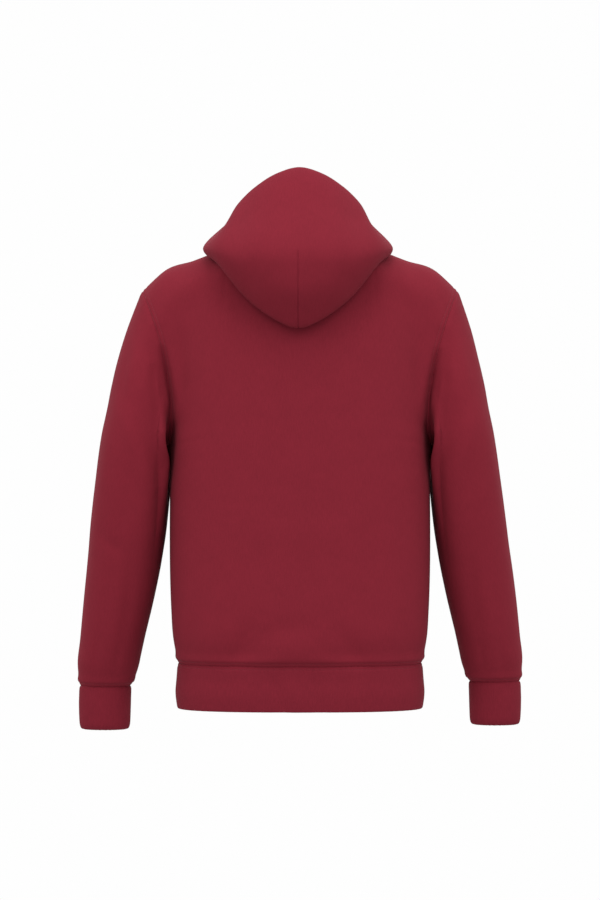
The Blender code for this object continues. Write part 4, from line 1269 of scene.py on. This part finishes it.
# %% Node helpers
def new_group(name, numbers):
    """An empty Geometry Nodes group with these numbers as its inputs."""
    tree = bpy.data.node_groups.new(name, "GeometryNodeTree")
    tree.interface.new_socket("Line", in_out="INPUT", socket_type="NodeSocketGeometry")
    for number in numbers:
        tree.interface.new_socket(number, in_out="INPUT", socket_type="NodeSocketFloat")
    tree.interface.new_socket("Finish", in_out="INPUT", socket_type="NodeSocketMaterial")
    tree.interface.new_socket("Made", in_out="OUTPUT", socket_type="NodeSocketGeometry")
    return tree, tree.nodes.new("NodeGroupInput").outputs, tree.nodes.new("NodeGroupOutput").inputs


def grow(obj, tree, values):
    """Runs a group on the object, and keeps the mesh that it makes in place of the modifier."""
    modifier = obj.modifiers.new(tree.name, "NODES")
    modifier.node_group = tree
    for item in tree.interface.items_tree:
        if item.name in values:
            modifier[item.identifier] = values[item.name]
    graph = bpy.context.evaluated_depsgraph_get()
    mesh = bpy.data.meshes.new_from_object(obj.evaluated_get(graph), depsgraph=graph)
    obj.modifiers.clear()
    obj.data = mesh


def spots_along(tree, given):
    """Points at an even pitch along the given line."""
    line = add_node(tree, "GeometryNodeMeshToCurve", Mesh=given["Line"])
    spots = add_node(tree, "GeometryNodeCurveToPoints", {"mode": "LENGTH"}, Curve=line.outputs[0],
                     Length=given["Pitch"])
    return spots.outputs


def end_group(tree, given, made, laid):
    """Makes the laid copies one real mesh with its finish, which is what the group gives."""
    real = add_node(tree, "GeometryNodeRealizeInstances", Geometry=laid.outputs[0])
    done = add_node(tree, "GeometryNodeSetMaterial", Geometry=real.outputs[0], Material=given["Finish"])
    tree.links.new(done.outputs[0], made["Made"])


# %% The stitch group
def stitch_group():
    """Lays a thread of the given length and thickness on each point of a line, along the line."""
    tree, given, made = new_group("stitch_row", ("Pitch", "Length", "Thread"))
    spots = spots_along(tree, given)
    size = add_node(tree, "ShaderNodeCombineXYZ", X=given["Thread"], Y=given["Thread"], Z=given["Length"])
    ball = add_node(tree, "GeometryNodeMeshUVSphere", Segments=BALL_SEGMENTS, Rings=BALL_RINGS,
                    Radius=0.5)
    laid = add_node(tree, "GeometryNodeInstanceOnPoints", Points=spots["Points"],
                    Instance=ball.outputs["Mesh"], Rotation=spots["Rotation"], Scale=size.outputs[0])
    end_group(tree, given, made, laid)
    return tree


# %% Sewing every line
stitches = {}
for name, piece in sewn.items():
    rows = [(contour(piece, *line), piece["looped"]) for line in SEW[name][-1]]
    if rows:
        stitches[name] = line_object(name + "_stitches", rows)
group = stitch_group()
sizes = {"Pitch": PITCH * MM, "Length": STITCH * MM, "Thread": THREAD * MM}
for obj in stitches.values():
    grow(obj, group, {**sizes, "Finish": thread})
    shade(obj.data, True)
faces = sum(len(obj.data.polygons) for obj in stitches.values())
print("stitches:", faces // (BALL_SEGMENTS * BALL_RINGS))

# %% [markdown]
# ## The zip
#
# A moulded zip is two woven tapes with a row of teeth each, which mesh in the middle. The tapes are
# sewn behind the fronts. A slider closes them, and its pull tab hangs from a small bridge. Only the
# tab swings, so it is the one piece that rides its own body.

# %% The tapes
TOOTH_PITCH = 2.8
TOOTH_SIZE = (3.4, 1.5, 1.7)  # across the zip, along it and out of it
TOOTH_REACH = 1.0  # from the middle of the zip to the middle of a tooth
TOOTH_LIFT = 0.2  # from the tape's face to the middle of a tooth
TEETH_FROM = 12.5  # from the tape's foot to the first tooth, where the box is
TEETH_SHORT = 8.0  # from the last tooth to the tape's top, where the slider is
coarse_tape = zip_lines(coarse_front, band_grid(hem_line(coarse_front, coarse_back)))
tape_rows = np.linspace(0, len(coarse_tape) - 1, TAPE_FINE * (len(coarse_tape) - 1) + 1)
fine_tape = finer(coarse_tape, tape_rows, np.linspace(0, 2, 9))
for name, grid, outward in (("zip_tape_left", fine_tape, 1), ("zip_tape_right", mirrored(fine_tape), -1)):
    sewn[name] = shell(name, grid, False, outward, TAPE_WALL, {}, ("bottom", "top", "left", "right"))
    sewn[name]["object"].data.materials.append(tape_finish)


# %% The teeth
def teeth_group():
    """Lays a tooth on each point of a line, by turns to the one side and to the other."""
    tree, given, made = new_group("zip_teeth", ("Pitch", "Reach", "Across", "Along", "Out"))
    spots = spots_along(tree, given)
    number = add_node(tree, "GeometryNodeInputIndex")
    turn = worked_out(tree, "MODULO", number.outputs[0], 2.0)
    side = add_node(tree, "ShaderNodeMapRange", Value=turn, To_Min=-1.0, To_Max=1.0)
    shift = worked_out(tree, "MULTIPLY", side.outputs[0], given["Reach"])
    move = add_node(tree, "ShaderNodeCombineXYZ", X=shift)
    moved = add_node(tree, "GeometryNodeSetPosition", Geometry=spots["Points"], Offset=move.outputs[0])
    size = add_node(tree, "ShaderNodeCombineXYZ", X=given["Across"], Y=given["Out"], Z=given["Along"])
    tooth = add_node(tree, "GeometryNodeMeshCube", Size=size.outputs[0])
    laid = add_node(tree, "GeometryNodeInstanceOnPoints", Points=moved.outputs[0],
                    Instance=tooth.outputs[0])
    end_group(tree, given, made, laid)
    return tree


zip_middle = fine_tape[:, 0] * (0, 1, 1)
zip_middle = zip_middle + grid_normals(fine_tape, False)[:, 0] * (TAPE_WALL / 2 + TOOTH_LIFT)
along_zip = run_along(zip_middle)
toothed = zip_middle[(along_zip > TEETH_FROM) & (along_zip < along_zip[-1] - TEETH_SHORT)]
teeth = line_object("zip_teeth", [(toothed, False)])
across, along, out = TOOTH_SIZE
grow(teeth, teeth_group(), {
    "Pitch": TOOTH_PITCH / 2 * MM, "Reach": TOOTH_REACH * MM, "Across": across * MM, "Along": along * MM,
    "Out": out * MM, "Finish": tooth_finish,
})
shade(teeth.data, False)
print("teeth:", len(teeth.data.polygons) // 6)


# %% The slider, its tab and the box at the foot
WELD = 1e-6  # corners nearer than this, in metres, are one
FLAT_ANGLE = 0.02  # two faces that meet at less than this many radians are one
SHARP_ANGLE = 0.5  # an edge of more than this is eased
EASED = {"zip_box": 0.45, "zip_slider": 0.22, "zip_pull": 0.3}  # how wide, in mm


def softened(node, width):
    """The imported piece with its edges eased, since cast metal has no sharp ones."""
    made = add_object(node + "_cast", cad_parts[node].data.copy())
    work = bmesh.new()
    work.from_mesh(made.data)
    bmesh.ops.remove_doubles(work, verts=work.verts, dist=WELD)
    bmesh.ops.dissolve_limit(work, angle_limit=FLAT_ANGLE, verts=work.verts, edges=work.edges)
    sharp = [edge for edge in work.edges
             if len(edge.link_faces) == 2 and edge.calc_face_angle() > SHARP_ANGLE]
    bmesh.ops.bevel(work, geom=sharp, offset=width * MM, segments=2, affect="EDGES", clamp_overlap=True)
    work.to_mesh(made.data)
    work.free()
    made.data.materials.clear()
    made.data.materials.append(nickel)
    return made


castings = {node: softened(node, width) for node, width in EASED.items()}

# %% [markdown]
# ## Joining it to the imported model
#
# Each mesh stands for the imported piece of the same name, which is hidden, and joins the garment's
# body. A table lists what every piece of cloth was cut to, as one flat sheet; the script makes no use of
# the sizes.

# %% What each cloth piece was cut to, in metres and square metres
# The piece, the width and length of its flat sheet, its area, how it is held and what it rests on.
CUTS = (
    ("back", 0.600, 0.700, 0.3150, "stretched",
     ("front_left", "front_right", "sleeve_left", "sleeve_right")),
    ("front_left", 0.330, 0.690, 0.1500, "hung", ("back", "zip_tape_left")),
    ("front_right", 0.330, 0.690, 0.1500, "hung", ("back", "zip_tape_right")),
    ("sleeve_left", 0.622, 0.620, 0.1920, "hung", ("back", "front_left")),
    ("sleeve_right", 0.622, 0.615, 0.1890, "hung", ("back", "front_right")),
    ("cuff_left", 0.220, 0.067, 0.0145, "gathered", ("sleeve_left",)),
    ("cuff_right", 0.220, 0.067, 0.0145, "gathered", ("sleeve_right",)),
    ("hem_band", 0.985, 0.067, 0.0657, "gathered", ("back", "front_left", "front_right")),
    ("hood", 0.904, 0.472, 0.1560, "draped", ("back", "front_left", "front_right")),
    ("zip_tape_left", 0.016, 0.633, 0.0101, "hung", ("front_left",)),
    ("zip_tape_right", 0.016, 0.633, 0.0101, "hung", ("front_right",)),
)
for name, width, length, area, held, rests_on in CUTS:
    piece = sewn[name]["object"]
    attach(piece, "garment")
    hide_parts(name)
    "rib" if name.startswith(("cuff", "hem")) else "tape" if "tape" in name else "fleece"
    sewn_on = [stitches[name]] if name in stitches else []
    for row in sewn_on:
        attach(row, "garment")
    others = [sewn[other]["object"] for other in rests_on]
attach(teeth, "garment")
for node, made in castings.items():
    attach(made, "pull" if node == "zip_pull" else "garment")
    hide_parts(node)

# %% [markdown]
# ## Floor, light and camera
#
# Three big soft lights stand high on the camera's side: one to the left, one to the right, and one in
# the middle that puts the shadow under the hood. A grey floor far below and nearly white air keep the
# other shadows open.

# %% The floor
FLOOR = -1.4
FLOOR_RADIUS = 2.7
bpy.ops.mesh.primitive_circle_add(
    vertices=96, radius=FLOOR_RADIUS, fill_type="NGON", location=(0, 0, FLOOR))
floor = bpy.context.object
floor.name = "floor"
floor_finish, *_ = finish("matt_pale_floor", Base_Color=linear("#b0b0b0"), Roughness=0.9)
floor.data.materials.append(floor_finish)


# %% Light
# Each is a square that faces the chest: its name, place, width in metres and power in watts.
CHEST = Vector((0.0, 0.0, -0.3))
LIGHTS = (
    ("key_light", (-2.0, 2.4, 2.2), 1.6, 19.5),
    ("fill_light", (2.0, 2.4, 2.0), 1.6, 17.0),
    ("top_light", (0.0, 1.4, 2.8), 1.2, 24.0),
)
for name, place, size, power in LIGHTS:
    data = bpy.data.lights.new(name, "AREA")
    data.size = size
    data.energy = power
    made = add_object(name, data)
    made.location = place
    made.rotation_euler = (Vector(place) - CHEST).to_track_quat("Z", "Y").to_euler()

# %% The air round it: white at eye level, a little brighter above and dimmer below
# Its strength is the sum of these: the direction's z from and to, and the strength from and to.
AIR = ((0.15, 1.0, 0.0, 0.45), (-0.6, -0.15, 0.1, 1.0))
world = bpy.data.worlds.new("pale_studio")
world.use_nodes = True
tree = world.node_tree
way = add_node(tree, "ShaderNodeTexCoord")
up = add_node(tree, "ShaderNodeSeparateXYZ", Vector=way.outputs["Generated"])
parts = []
for low, high, weak, strong in AIR:
    part = add_node(tree, "ShaderNodeMapRange", Value=up.outputs["Z"], From_Min=low, From_Max=high,
                    To_Min=weak, To_Max=strong)
    parts.append(part.outputs[0])
air = tree.nodes["Background"]
tree.links.new(worked_out(tree, "ADD", *parts), air.inputs["Strength"])
air.inputs["Color"].default_value = linear("#fefefe")
bpy.context.scene.world = world
bpy.context.scene.view_settings.view_transform = "Standard"

# %% Camera
# A long lens from well back, level with the middle of the garment, as clothes are usually shown.
LENS = 134.2
CAMERA_AWAY = 5.0
CAMERA_HEIGHT = -0.316
lens = bpy.data.cameras.new("camera")
lens.lens = LENS
lens.sensor_width = 36.0
camera = add_object("camera", lens)
camera.location = (0.0, CAMERA_AWAY, CAMERA_HEIGHT)
camera.rotation_euler = (math.radians(90), 0.0, math.radians(180))
bpy.context.scene.camera = camera
